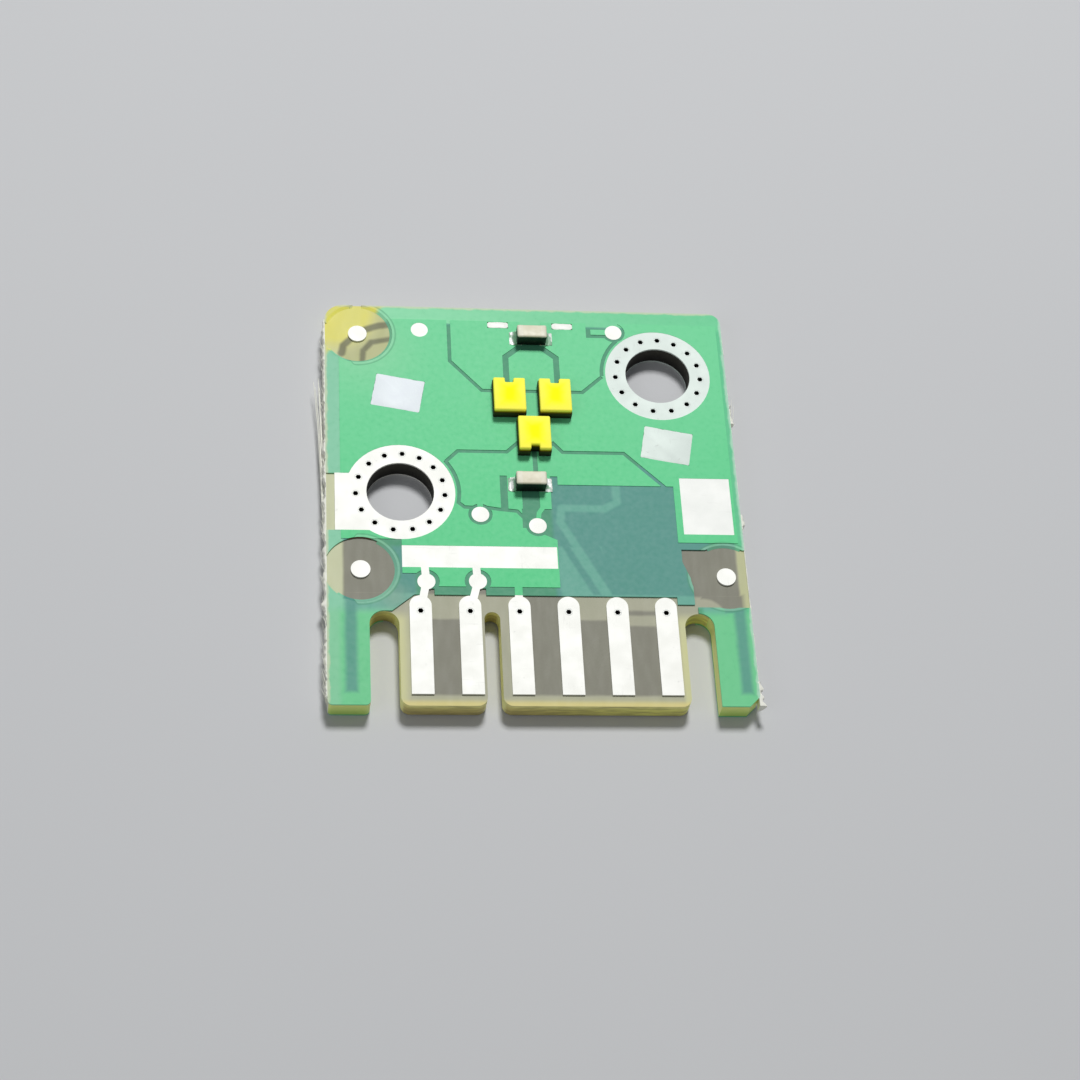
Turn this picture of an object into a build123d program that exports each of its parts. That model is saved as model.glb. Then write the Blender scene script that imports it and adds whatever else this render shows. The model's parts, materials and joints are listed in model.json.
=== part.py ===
from build123d import *
from math import cos, radians, sin
import os

# Headlight LED board: a two-layer circuit board with a plug-in edge connector, two screw holes ringed
# by vias, three LEDs and two chip capacitors. +X runs along the connector, +Y away from it, +Z towards the components.
# The origin is the centre of the board's outline, on its underside.

# ---------------------------------------------------------------- driving dimensions, mm
# Layers, from the laminate outwards
LAMINATE = 1.0
COPPER = 0.07
MASK = 0.04
MASK_FILL = 0.08
TIN = 0.03
SOLDER = 0.06

# Edge connector: contact fingers on two tongues, between two side arms
PITCH = 2.5
FINGERS = 6
FINGER_WIDTH = 1.12
FINGER_LENGTH = 5.55
FINGER_INSET = 0.6
UNDER_FINGER_WIDTH = 2.2
UNDER_FINGER_LENGTH = 4.25
KEY_FINGER = 2
KEY_OFFSET = 1.1
KEY_SLOT = 0.8
SIDE_SLOT = 1.5
FINGER_VIA_DROP = 0.875
LEFT_MARGIN = 1.08
RIGHT_MARGIN = 0.93
LEFT_ARM = 2.12
RIGHT_ARM = 1.97

# Corners of the outline
TOP_LEFT_RADIUS = 1.0
TOP_RIGHT_RADIUS = 0.7
TONGUE_RADIUS = 0.5
ARM_RADIUS = 0.25
BROKEN_CORNER = 0.55

# Screw holes and the vias around them
HOLE_RADIUS = 1.75
PAD_RADIUS = 2.85
RING_RIGHT_MARGIN = 0.89
RING_TOP_MARGIN = 1.325
RING_LEFT_MARGIN = 0.98
RING_TO_BAR = 0.35
HOLE_RISE = 7.57
VIA_RADIUS = 0.15
VIA_WALL = 0.03
VIA_RING_RADIUS = 2.31
VIA_COUNT = 15
VIA_SIDES = 6
VIA_DRIFT = 3.6

# Light sources: two side by side, the third below them and turned round
LED_WIDTH = 1.75
LED_LENGTH = 2.1
LED_BODY = 0.42
PHOSPHOR = 0.3
PHOSPHOR_INSET = 0.03
LED_CORNER = 0.08
LED_PAD_INSET = 0.08
NOTCH_WIDTH = 0.46
NOTCH_DEPTH = 0.28
LED_SPLIT = 0.63
LED_SPACE_X = 0.68
LED_SPACE_Y = 0.29
LED_RIGHT_OF_CENTRE = 0.12
LED_BELOW_HOLE = 1.825

# Chip capacitors
CHIP_LENGTH = 1.6
CHIP_DEPTH = 0.8
CHIP_HEIGHT = 0.78
CHIP_CAP = 0.32
CAP_WALL = 0.03
CHIP_EDGE = 0.05
FILLET_REACH = 0.36
FILLET_HEIGHT = 0.5
FILLET_SAG = 0.08

# Bare pads
DOT_RADIUS = 0.46
DOT_SIDES = 24
FIDUCIAL_RADIUS = 0.5
FIDUCIAL_WINDOW = 1.87
EDGE_PAD_WIDTH = 2.65
EDGE_PAD_HEIGHT = 3.42
EDGE_PAD_INSET = 0.45
EDGE_PAD_DROP = 0.625
SLANT_PAD_WIDTH = 2.6
SLANT_PAD_HEIGHT = 2.0
SLANT_ANGLE = -10.5
SUPPLY_BAR_HEIGHT = 1.28
FINGER_TO_BAR = 1.625
SHORT_BAR_WIDTH = 1.12
SHORT_BAR_HEIGHT = 0.4
SHORT_BAR_SPAN = 3.5

# Copper layout
ISOLATION = 0.2
WIDE_ISOLATION = 0.32
POUR_SIDE_MARGIN = 0.75
POUR_RIGHT_MARGIN = 0.3
POUR_TOP_MARGIN = 0.85
DOT_CLEARANCE = 0.17
PAD_LIP = 0.05
TRACK_WIDTH = 0.34
NECK_WIDTH = 0.4
TEST_TRACK_LENGTH = 1.25
UNDER_LEFT_MARGIN = 0.85
UNDER_RIGHT_MARGIN = 0.48
UNDER_TOP_MARGIN = 1.1
UNDER_TRACK = 0.65
UNDER_ISOLATION = 0.42
UNDER_SLOT_MARGIN = 0.15

# ---------------------------------------------------------------- places worked out from them
BOARD_WIDTH = LEFT_ARM + RIGHT_ARM + 2 * SIDE_SLOT + LEFT_MARGIN + RIGHT_MARGIN + (FINGERS - 1) * PITCH
CONNECTOR_LENGTH = FINGER_INSET + FINGER_LENGTH + FINGER_TO_BAR + SUPPLY_BAR_HEIGHT
BOARD_LENGTH = CONNECTOR_LENGTH + RING_TO_BAR + 2 * PAD_RADIUS + HOLE_RISE + RING_TOP_MARGIN
LEFT, RIGHT = -BOARD_WIDTH / 2, BOARD_WIDTH / 2
BOTTOM, TOP = -BOARD_LENGTH / 2, BOARD_LENGTH / 2

UNDER_COPPER_Z = MASK
LAMINATE_Z = UNDER_COPPER_Z + COPPER
TOP_COPPER_Z = LAMINATE_Z + LAMINATE
TOP_MASK_Z = TOP_COPPER_Z + COPPER
SEAT_Z = TOP_MASK_Z + SOLDER

FINGER_X = [LEFT + LEFT_ARM + SIDE_SLOT + LEFT_MARGIN + k * PITCH for k in range(FINGERS)]
FINGER_BOTTOM = BOTTOM + FINGER_INSET
FINGER_TOP = FINGER_BOTTOM + FINGER_LENGTH
SLOT_TOP = FINGER_TOP - FINGER_VIA_DROP
FINGER_VIA_Y = SLOT_TOP
KEY_X = FINGER_X[KEY_FINGER - 1] + KEY_OFFSET
LEFT_SLOT_X = LEFT + LEFT_ARM + SIDE_SLOT / 2
RIGHT_SLOT_X = RIGHT - RIGHT_ARM - SIDE_SLOT / 2
SLOTS = [(LEFT_SLOT_X, SIDE_SLOT), (KEY_X, KEY_SLOT), (RIGHT_SLOT_X, SIDE_SLOT)]

HOLE_1 = (RIGHT - RING_RIGHT_MARGIN - PAD_RADIUS, TOP - RING_TOP_MARGIN - PAD_RADIUS)
HOLE_2 = (LEFT + RING_LEFT_MARGIN + PAD_RADIUS, HOLE_1[1] - HOLE_RISE)
PAD_CLEARANCE_RADIUS = PAD_RADIUS + ISOLATION

LED_STEP = (LED_WIDTH + LED_SPACE_X) / 2
LED_1 = (LED_RIGHT_OF_CENTRE - LED_STEP, HOLE_1[1] - LED_BELOW_HOLE)
LED_2 = (LED_RIGHT_OF_CENTRE + LED_STEP, LED_1[1])
LED_3 = (LED_RIGHT_OF_CENTRE, LED_1[1] - LED_LENGTH - LED_SPACE_Y)
SPLIT_Y = LED_1[1] + LED_SPLIT
SPLIT_3_Y = LED_3[1] - LED_SPLIT

CHIP_1 = (LED_RIGHT_OF_CENTRE + 0.16, TOP - 1.97)
CHIP_2 = (LED_3[0] - 0.32, LED_3[1] - 2.84)
CHIPS = [CHIP_1, CHIP_2]
CHIP_PAD_INNER = CHIP_LENGTH / 2 - CHIP_CAP
CHIP_PAD_OUTER = CHIP_LENGTH / 2 + FILLET_REACH

EDGE_PAD_Y = HOLE_2[1] - EDGE_PAD_DROP
EDGE_PAD_BOTTOM = EDGE_PAD_Y - EDGE_PAD_HEIGHT / 2
SLANT_1 = (HOLE_2[0], HOLE_2[1] + 6.1)
SLANT_2 = (HOLE_1[0] + 0.15, HOLE_1[1] - 4.47)

FIDUCIALS = [(LEFT + 1.75, TOP - 1.855), (LEFT + 1.72, SLOT_TOP + 2.37), (RIGHT - 1.1, SLOT_TOP + 2.15)]
POUR_DOT = (LEFT + 5.08, TOP - 1.525)
TEST_DOT_REACH = PAD_RADIUS + 0.7
TEST_DOT = (HOLE_1[0] - TEST_DOT_REACH * sin(radians(39)), HOLE_1[1] + TEST_DOT_REACH * cos(radians(39)))
LEFT_DOT = (CHIP_2[0] - 2.67, CHIP_2[1] - 1.815)
CHIP_DOT = (CHIP_2[0] + 0.28, CHIP_2[1] - 2.45)
FINGER_DOTS = [(FINGER_X[0] + 0.33, FINGER_VIA_Y + 1.68), (FINGER_X[1] + 0.45, FINGER_VIA_Y + 1.72)]
ISLAND_DOTS = [TEST_DOT, LEFT_DOT, CHIP_DOT]

POUR_LEFT = LEFT + POUR_SIDE_MARGIN
POUR_RIGHT = RIGHT - POUR_RIGHT_MARGIN
POUR_TOP = TOP - POUR_TOP_MARGIN
POUR_FOOT = FINGER_TOP + 0.525
POUR_END_X = CHIP_2[0] + 1.25
BARE_TOP = CHIP_2[1] + 0.05
BARE_RIGHT = RIGHT - EDGE_PAD_INSET - EDGE_PAD_WIDTH - 0.35
SUPPLY_BAR_Y = FINGER_TOP + FINGER_TO_BAR + SUPPLY_BAR_HEIGHT / 2
MASK_FOOT = FINGER_TOP + 0.06

UNDER_LEFT, UNDER_RIGHT = LEFT + UNDER_LEFT_MARGIN, RIGHT - UNDER_RIGHT_MARGIN
UNDER_FOOT = SLOT_TOP + 1
UNDER_FINGER_TOP = FINGER_BOTTOM + UNDER_FINGER_LENGTH


# ---------------------------------------------------------------- shared profiles
def rectangle_between(x1, x2, y1, y2, mode=Mode.ADD):
    """A rectangle given by its left, right, lower and upper sides."""
    with Locations(((x1 + x2) / 2, (y1 + y2) / 2)):
        Rectangle(x2 - x1, y2 - y1, mode=mode)


def discs(places, radius, mode=Mode.ADD):
    """The same disc at each place."""
    with Locations(*places):
        Circle(radius, mode=mode)


def dots(places, radius, sides=DOT_SIDES, mode=Mode.ADD):
    """Small discs and bores: at their size a few sides are round enough."""
    with Locations(*places):
        RegularPolygon(radius, sides, mode=mode)


def cut_track(width, *points):
    """Cuts a band of one width along a run of straight stretches."""
    with BuildLine() as path:
        Polyline(*points)
    trace(path.line, line_width=width, mode=Mode.SUBTRACT)


def lay_track(width, *points):
    """Adds a band of one width along a run of straight stretches."""
    with BuildLine() as path:
        Polyline(*points)
    trace(path.line, line_width=width)


def round_hole(centre, angle):
    """A place on the edge of the clearance round a hole's pad."""
    return Vector(PAD_CLEARANCE_RADIUS, 0).rotate(Axis.Z, angle) + Vector(*centre)


def via_places(centre):
    """The via ring's places; they drift a little from even spacing, as hand-placed vias do."""
    places = []
    for k in range(VIA_COUNT):
        turn = k * 360 / VIA_COUNT
        angle = 89.3 - turn + VIA_DRIFT * sin(radians(turn - 54))
        places.append(Vector(VIA_RING_RADIUS, 0).rotate(Axis.Z, angle) + Vector(*centre))
    return places


RING_1_VIAS = via_places(HOLE_1)
RING_2_VIAS = via_places(HOLE_2)
FINGER_VIAS = [(x, FINGER_VIA_Y) for x in FINGER_X]
ALL_VIAS = RING_1_VIAS + RING_2_VIAS + FINGER_VIAS


with BuildSketch() as outline:
    Rectangle(BOARD_WIDTH, BOARD_LENGTH)
    top_corners = outline.vertices().group_by(Axis.Y)[-1].sort_by(Axis.X)
    fillet(top_corners[0], TOP_LEFT_RADIUS)
    fillet(outline.vertices().group_by(Axis.Y)[-1].sort_by(Axis.X)[-1], TOP_RIGHT_RADIUS)
    for slot_x, slot_width in SLOTS:
        arch_y = SLOT_TOP - slot_width / 2
        discs([(slot_x, arch_y)], slot_width / 2, mode=Mode.SUBTRACT)
        rectangle_between(slot_x - slot_width / 2, slot_x + slot_width / 2, BOTTOM, arch_y, Mode.SUBTRACT)
    feet = outline.vertices().group_by(Axis.Y)[0].sort_by(Axis.X)
    fillet(feet[2:6], TONGUE_RADIUS)
    fillet(outline.vertices().group_by(Axis.Y)[0].sort_by(Axis.X)[:2], ARM_RADIUS)
    chamfer(outline.vertices().group_by(Axis.Y)[0].sort_by(Axis.X)[-1], BROKEN_CORNER)

with BuildSketch() as drilled_outline:
    add(outline.sketch)
    discs([HOLE_1, HOLE_2], HOLE_RADIUS, mode=Mode.SUBTRACT)


# ---------------------------------------------------------------- top copper, by net
with BuildSketch() as top_pour:
    rectangle_between(POUR_LEFT, POUR_RIGHT, BARE_TOP, POUR_TOP)
    rectangle_between(POUR_LEFT, HOLE_2[0], EDGE_PAD_BOTTOM - 0.5, BARE_TOP)
    rectangle_between(BARE_RIGHT, POUR_RIGHT, EDGE_PAD_BOTTOM - 0.5, BARE_TOP)
    rectangle_between(HOLE_2[0], POUR_END_X, FINGER_DOTS[0][1] + 0.47, BARE_TOP)
    rectangle_between(FINGER_DOTS[0][0], POUR_END_X, POUR_FOOT, BARE_TOP)

    # No copper round the light sources' feeds and the capacitors
    cut_track(
        ISOLATION,
        (LED_1[0] - 3.05, POUR_TOP),
        (LED_1[0] - 3.05, SPLIT_Y + 1.85),
        (LED_1[0] - 1.4, SPLIT_Y),
        (LED_2[0] + 1.56, SPLIT_Y),
        round_hole(HOLE_1, 183),
    )
    with BuildLine() as hole_1_side:
        CenterArc(HOLE_1, PAD_CLEARANCE_RADIUS, 182, -48)
    trace(hole_1_side.line, line_width=ISOLATION, mode=Mode.SUBTRACT)
    for feed_x, lean in ((LED_1[0] - 0.05, 0.95), (LED_2[0] + 0.25, -0.95)):
        cut_track(
            WIDE_ISOLATION,
            (feed_x + lean, CHIP_1[1] - 0.4),
            (feed_x, CHIP_1[1] - 1.2),
            (feed_x, SPLIT_Y),
        )
    rectangle_between(CHIP_1[0] - 0.55, CHIP_1[0] + 0.6, CHIP_1[1] - 0.75, POUR_TOP, Mode.SUBTRACT)
    cut_track(
        ISOLATION,
        (LED_3[0] + 0.15, SPLIT_3_Y),
        (LED_3[0] - 0.55, SPLIT_3_Y),
        (LED_3[0] - 0.85, LED_3[1] - 0.24),
        (LED_3[0] - 1.45, LED_3[1] - 0.82),
        (HOLE_2[0] + PAD_CLEARANCE_RADIUS, LED_3[1] - 0.82),
        round_hole(HOLE_2, 38),
    )
    with BuildLine() as hole_2_side:
        CenterArc(HOLE_2, PAD_CLEARANCE_RADIUS, 39, -52)
    trace(hole_2_side.line, line_width=ISOLATION, mode=Mode.SUBTRACT)
    cut_track(
        ISOLATION,
        round_hole(HOLE_2, -11.5),
        (LEFT_DOT[0] - 0.8, LEFT_DOT[1] + 0.42),
        (LEFT_DOT[0] - 0.3, LEFT_DOT[1] + 0.4),
    )
    cut_track(
        ISOLATION,
        (LEFT_DOT[0] + 0.3, LEFT_DOT[1] + 0.42),
        (CHIP_2[0] - 1.7, CHIP_2[1] - 1.5),
        (CHIP_2[0] - 0.75, CHIP_2[1] - 1.6),
        (CHIP_DOT[0] - 0.6, CHIP_DOT[1] + 0.35),
    )
    cut_track(
        ISOLATION,
        (LED_3[0] - 0.15, SPLIT_3_Y),
        (LED_3[0] + 0.55, SPLIT_3_Y),
        (LED_3[0] + 1.02, LED_3[1] - 0.24),
        (LED_3[0] + 1.5, LED_3[1] - 0.79),
        (HOLE_1[0] - 2.2, LED_3[1] - 0.79),
        (BARE_RIGHT - 0.4, BARE_TOP - 0.1),
    )
    cut_track(ISOLATION + 0.05, (LED_3[0], SPLIT_3_Y), (LED_3[0] + 0.02, CHIP_2[1] + 0.7))
    rectangle_between(CHIP_2[0] - 1.58, CHIP_2[0] - 1.2, CHIP_2[1] - 1.6, CHIP_2[1] + 0.55, Mode.SUBTRACT)
    rectangle_between(CHIP_2[0] - 0.45, CHIP_2[0] + 0.46, CHIP_2[1] - 2.2, CHIP_2[1] + 0.75, Mode.SUBTRACT)
    rectangle_between(CHIP_2[0] - 0.5, POUR_END_X + 0.1, CHIP_2[1] - 2.6, CHIP_2[1] - 1.45, Mode.SUBTRACT)
    rectangle_between(CHIP_2[0] + 1.06, POUR_END_X + 0.2, CHIP_2[1] - 2.6, CHIP_2[1] + 0.55, Mode.SUBTRACT)
    cut_track(0.7, CHIP_DOT, (POUR_END_X + 0.3, CHIP_DOT[1] - 0.6))

    # Clearances round the test dots and the fiducials
    dots(ISLAND_DOTS, DOT_RADIUS + DOT_CLEARANCE, mode=Mode.SUBTRACT)
    dots(FINGER_DOTS, DOT_RADIUS + DOT_CLEARANCE + PAD_LIP, mode=Mode.SUBTRACT)
    discs(FIDUCIALS, FIDUCIAL_WINDOW, mode=Mode.SUBTRACT)
    rectangle_between(
        TEST_DOT[0] - TEST_TRACK_LENGTH - 0.25, TEST_DOT[0], TEST_DOT[1] - 0.38, POUR_TOP, Mode.SUBTRACT
    )

    # Necks that join a dot to its net
    lay_track(NECK_WIDTH - 0.1, LEFT_DOT, (LEFT_DOT[0], LEFT_DOT[1] + 0.8))
    chip_neck = (CHIP_DOT[0] + 0.1, CHIP_DOT[1] + 0.75)
    lay_track(NECK_WIDTH - 0.15, CHIP_DOT, chip_neck, (CHIP_2[0] + 0.7, CHIP_2[1] - 1.2))
    for finger_x, dot in zip(FINGER_X, FINGER_DOTS):
        lay_track(NECK_WIDTH, (finger_x, FINGER_VIA_Y), dot, (dot[0] - 0.1, SUPPLY_BAR_Y))
    lay_track(NECK_WIDTH, (FINGER_X[KEY_FINGER], FINGER_VIA_Y), (FINGER_X[KEY_FINGER], SUPPLY_BAR_Y))
    lay_track(TRACK_WIDTH, TEST_DOT, (TEST_DOT[0] - TEST_TRACK_LENGTH, TEST_DOT[1]))
    dots(ISLAND_DOTS + FINGER_DOTS, DOT_RADIUS)
    dots(FIDUCIALS, FIDUCIAL_RADIUS)
    left_pad_x = LEFT + EDGE_PAD_INSET
    rectangle_between(left_pad_x, HOLE_2[0], EDGE_PAD_BOTTOM, EDGE_PAD_BOTTOM + EDGE_PAD_HEIGHT)

    # Contact fingers
    for finger_x in FINGER_X:
        with Locations((finger_x, FINGER_TOP - FINGER_WIDTH / 2)):
            Circle(FINGER_WIDTH / 2)
        half = FINGER_WIDTH / 2
        rectangle_between(finger_x - half, finger_x + half, FINGER_BOTTOM, FINGER_TOP - half)

    discs([HOLE_1, HOLE_2], HOLE_RADIUS, mode=Mode.SUBTRACT)


# ---------------------------------------------------------------- windows in the top mask
def chip_pads(centre):
    """The two pads of a chip capacitor, each reaching out past its end."""
    for side in (-1, 1):
        ends = sorted((centre[0] + side * CHIP_PAD_INNER, centre[0] + side * CHIP_PAD_OUTER))
        rectangle_between(*ends, centre[1] - CHIP_DEPTH / 2, centre[1] + CHIP_DEPTH / 2)


def led_pads(centre, facing):
    """The pads under a light source: a wide one, and two small ones on the notch's side (facing 1 or -1)."""
    wide_far = centre[1] - facing * (LED_LENGTH / 2 - LED_PAD_INSET)
    wide_near = centre[1] + facing * (LED_SPLIT - ISOLATION / 2 - LED_PAD_INSET)
    half = LED_WIDTH / 2 - LED_PAD_INSET
    rectangle_between(centre[0] - half, centre[0] + half, *sorted((wide_far, wide_near)))
    small_far = centre[1] + facing * (LED_SPLIT + ISOLATION / 2)
    small_near = centre[1] + facing * (LED_LENGTH / 2 - LED_PAD_INSET)
    for side in (-1, 1):
        ends = sorted((centre[0] + side * (NOTCH_WIDTH / 2 + LED_PAD_INSET), centre[0] + side * half))
        rectangle_between(*ends, *sorted((small_far, small_near)))


with BuildSketch() as bare_windows:
    discs([HOLE_1, HOLE_2], PAD_RADIUS)
    edge_pad_y = (EDGE_PAD_BOTTOM, EDGE_PAD_BOTTOM + EDGE_PAD_HEIGHT)
    rectangle_between(LEFT, HOLE_2[0], *edge_pad_y)
    right_pad_x = RIGHT - EDGE_PAD_INSET
    rectangle_between(right_pad_x - EDGE_PAD_WIDTH, right_pad_x, *edge_pad_y)
    with Locations(SLANT_1, SLANT_2):
        Rectangle(SLANT_PAD_WIDTH, SLANT_PAD_HEIGHT, rotation=SLANT_ANGLE)
    bar_half = SUPPLY_BAR_HEIGHT / 2
    rectangle_between(HOLE_2[0], POUR_END_X - PAD_LIP, SUPPLY_BAR_Y - bar_half, SUPPLY_BAR_Y + bar_half)
    dots([POUR_DOT] + ISLAND_DOTS + FINGER_DOTS, DOT_RADIUS)
    short_bar_y = POUR_TOP - PAD_LIP - SHORT_BAR_HEIGHT / 2
    for side in (-1, 1):
        with Locations((CHIP_1[0] + side * SHORT_BAR_SPAN / 2, short_bar_y)):
            Rectangle(SHORT_BAR_WIDTH, SHORT_BAR_HEIGHT)
    for finger_x, dot in zip(FINGER_X, FINGER_DOTS):
        lay_track(NECK_WIDTH, (finger_x, FINGER_VIA_Y), dot, (dot[0] - 0.1, SUPPLY_BAR_Y))
        rectangle_between(dot[0] - 0.1, dot[0] + 0.4, FINGER_VIA_Y, dot[1] - 0.4)
    discs(FIDUCIALS, FIDUCIAL_WINDOW)

    # The tongues are bare up to the tops of their fingers, and so is the right arm's root
    rectangle_between(LEFT_SLOT_X, RIGHT_SLOT_X, BOTTOM, SLOT_TOP)
    rectangle_between(FINGER_X[0], FINGER_X[-1] + FINGER_WIDTH / 2 + 2 * MASK, SLOT_TOP, MASK_FOOT)
    rectangle_between(FINGER_X[0] - 0.55, RIGHT_SLOT_X, SLOT_TOP, SLOT_TOP + 0.5)
    with BuildLine() as shoulder:
        Polyline(
            (LEFT_SLOT_X + 0.4, SLOT_TOP),
            (FINGER_X[0] - 0.3, MASK_FOOT),
            (FINGER_X[0] + 0.5, MASK_FOOT),
            (FINGER_X[0] + 0.5, SLOT_TOP),
            close=True,
        )
    make_face(shoulder.edges())
    rectangle_between(RIGHT_SLOT_X - 0.15, RIGHT, SLOT_TOP + 0.35, EDGE_PAD_BOTTOM - 0.9)
    with BuildLine() as arm_root:
        Polyline(
            (RIGHT_SLOT_X - 0.6, EDGE_PAD_BOTTOM - 0.9),
            (RIGHT_SLOT_X - 0.6, SLOT_TOP + 3),
            (RIGHT_SLOT_X - 0.15, SLOT_TOP + 1.8),
            (RIGHT_SLOT_X - 0.15, EDGE_PAD_BOTTOM - 0.9),
            close=True,
        )
    make_face(arm_root.edges())

with BuildSketch() as solder_windows:
    for chip in CHIPS:
        chip_pads(chip)
    led_pads(LED_1, 1)
    led_pads(LED_2, 1)
    led_pads(LED_3, -1)

with BuildSketch() as top_coated:
    add(outline.sketch)
    add(bare_windows.sketch, mode=Mode.SUBTRACT)
    add(solder_windows.sketch, mode=Mode.SUBTRACT)

with BuildSketch() as bare_copper:
    add(top_pour.sketch)
    add(bare_windows.sketch, mode=Mode.INTERSECT)


# ---------------------------------------------------------------- underside copper and its windows
with BuildSketch() as under_pour:
    rectangle_between(UNDER_LEFT, UNDER_RIGHT, UNDER_FOOT, TOP - UNDER_TOP_MARGIN)
    for strip_x in (UNDER_LEFT, UNDER_RIGHT - UNDER_TRACK):
        rectangle_between(strip_x, strip_x + UNDER_TRACK, FINGER_BOTTOM, UNDER_FOOT)

    # A bare field beside the test dot, and the gaps that cut the copper into its nets
    rectangle_between(POUR_END_X + 0.15, CHIP_2[0] + 3.3, UNDER_FOOT, UNDER_FOOT + 2.2, Mode.SUBTRACT)
    cut_track(
        UNDER_ISOLATION,
        (CHIP_2[0] + 4.45, BARE_TOP + 1),
        (CHIP_2[0] + 4.45, BARE_TOP - 1.4),
        (CHIP_2[0] + 1.5, BARE_TOP - 1.4),
        (CHIP_2[0] + 1.5, BARE_TOP - 2.1),
        (CHIP_2[0] + 2.8, UNDER_FOOT + 2),
    )
    cut_track(
        UNDER_ISOLATION,
        (LEFT + 1.65, TOP - 4.2),
        (LEFT + 1.7, TOP - 2.4),
        (LEFT + 2.4, TOP - 1.75),
        (LEFT + 3.7, TOP - 1.7),
    )

    # Wide contacts under the fingers; those of the supply fingers reach the copper above
    for finger_x in FINGER_X:
        half = UNDER_FINGER_WIDTH / 2
        rectangle_between(finger_x - half, finger_x + half, FINGER_BOTTOM, UNDER_FINGER_TOP)
        lay_track(NECK_WIDTH, (finger_x, UNDER_FINGER_TOP - 0.1), (finger_x, FINGER_VIA_Y))
    for finger_x in FINGER_X[: KEY_FINGER + 1]:
        lay_track(NECK_WIDTH, (finger_x, FINGER_VIA_Y), (finger_x, UNDER_FOOT + 0.1))
    discs(FINGER_VIAS, NECK_WIDTH * 0.8)
    for slot_x, slot_width in SLOTS:
        clear = slot_width / 2 + UNDER_SLOT_MARGIN
        rectangle_between(slot_x - clear, slot_x + clear, BOTTOM, SLOT_TOP + UNDER_SLOT_MARGIN, Mode.SUBTRACT)
    discs([HOLE_1, HOLE_2], HOLE_RADIUS, mode=Mode.SUBTRACT)

with BuildSketch() as under_windows:
    discs([HOLE_1, HOLE_2], PAD_RADIUS)
    rectangle_between(LEFT_SLOT_X, RIGHT_SLOT_X, BOTTOM, SLOT_TOP + 0.5)

with BuildSketch() as bare_under_copper:
    add(under_pour.sketch)
    add(under_windows.sketch, mode=Mode.INTERSECT)


# ---------------------------------------------------------------- making and writing the pieces
PLATED = COPPER + TIN
BARREL_LENGTH = LAMINATE + 2 * PLATED


def face_near(sketch, place):
    """The one of a sketch's faces that holds a place, or lies nearest to it."""
    return sketch.faces().sort_by_distance(Vector(*place))[0]


def export(piece, name):
    """Names a finished piece and writes it."""
    piece.part.label = name
    export_step(piece.part, f"parts/{name}.step")


os.makedirs("parts", exist_ok=True)

# Laminate core, drilled for the vias' barrels
with BuildPart() as laminate:
    with BuildSketch(Plane.XY.offset(LAMINATE_Z)):
        add(drilled_outline.sketch)
        dots(ALL_VIAS, VIA_RADIUS + VIA_WALL, VIA_SIDES, Mode.SUBTRACT)
    extrude(amount=LAMINATE)
export(laminate, "laminate")

# Copper foil under the top mask, one node for each net
NETS = {
    "copper_pour": (SLANT_1[0], HOLE_2[1] + 3.5),
    "led_1_feed": (LED_1[0] - 1.5, SPLIT_Y + 1.5),
    "led_link": (LED_RIGHT_OF_CENTRE, SPLIT_Y + 1),
    "led_2_feed": (LED_2[0] + 1.5, SPLIT_Y + 1.5),
    "led_3_left_feed": (LED_3[0] - 1.5, LED_3[1] - 1.5),
    "led_3_right_feed": (LED_3[0] + 1.5, LED_3[1] - 1.5),
    "test_track": TEST_DOT,
}
for net, place in NETS.items():
    with BuildPart() as foil:
        with BuildSketch(Plane.XY.offset(TOP_COPPER_Z)):
            add(face_near(top_pour.sketch, place))
            add(bare_windows.sketch, mode=Mode.SUBTRACT)
        extrude(amount=COPPER)
    export(foil, net)

# Tinned pads on the component side only
PADS = {
    "edge_pad": [(RIGHT - EDGE_PAD_INSET - EDGE_PAD_WIDTH / 2, EDGE_PAD_Y)],
    "slanted_pad_1": [SLANT_1],
    "slanted_pad_2": [SLANT_2],
    "test_dots": [POUR_DOT, TEST_DOT, LEFT_DOT, CHIP_DOT],
    "short_bars": [(CHIP_1[0] + side * SHORT_BAR_SPAN / 2, short_bar_y) for side in (-1, 1)],
    "fiducials": FIDUCIALS,
}
for name, places in PADS.items():
    with BuildPart() as pads:
        with BuildSketch(Plane.XY.offset(TOP_COPPER_Z)):
            for place in places:
                add(face_near(bare_copper.sketch, place))
        extrude(amount=PLATED)
    export(pads, name)

# Tinned lands on both sides, joined through the laminate by the barrels of their vias
LANDS = {
    "hole_1_land": ([HOLE_1], RING_1_VIAS),
    "hole_2_land": ([HOLE_2], RING_2_VIAS),
    "supply_bar_and_fingers": (FINGER_VIAS[:KEY_FINGER], FINGER_VIAS[:KEY_FINGER]),
}
for k in range(KEY_FINGER, FINGERS):
    LANDS[f"contact_finger_{k + 1}"] = ([FINGER_VIAS[k]], [FINGER_VIAS[k]])

for name, (places, vias) in LANDS.items():
    with BuildPart() as land:
        with BuildSketch(Plane.XY.offset(TOP_COPPER_Z)):
            add(face_near(bare_copper.sketch, places[0]))
        extrude(amount=PLATED)
        with BuildSketch(Plane.XY.offset(UNDER_COPPER_Z - TIN)):
            for place in places:
                add(face_near(bare_under_copper.sketch, place))
        extrude(amount=PLATED)
        with BuildSketch(Plane.XY.offset(UNDER_COPPER_Z - TIN)):
            dots(vias, VIA_RADIUS + VIA_WALL, VIA_SIDES)
        extrude(amount=BARREL_LENGTH)
        with BuildSketch(Plane.XY.offset(UNDER_COPPER_Z - TIN)):
            dots(vias, VIA_RADIUS, VIA_SIDES)
        extrude(amount=BARREL_LENGTH, mode=Mode.SUBTRACT)
    export(land, name)

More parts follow.
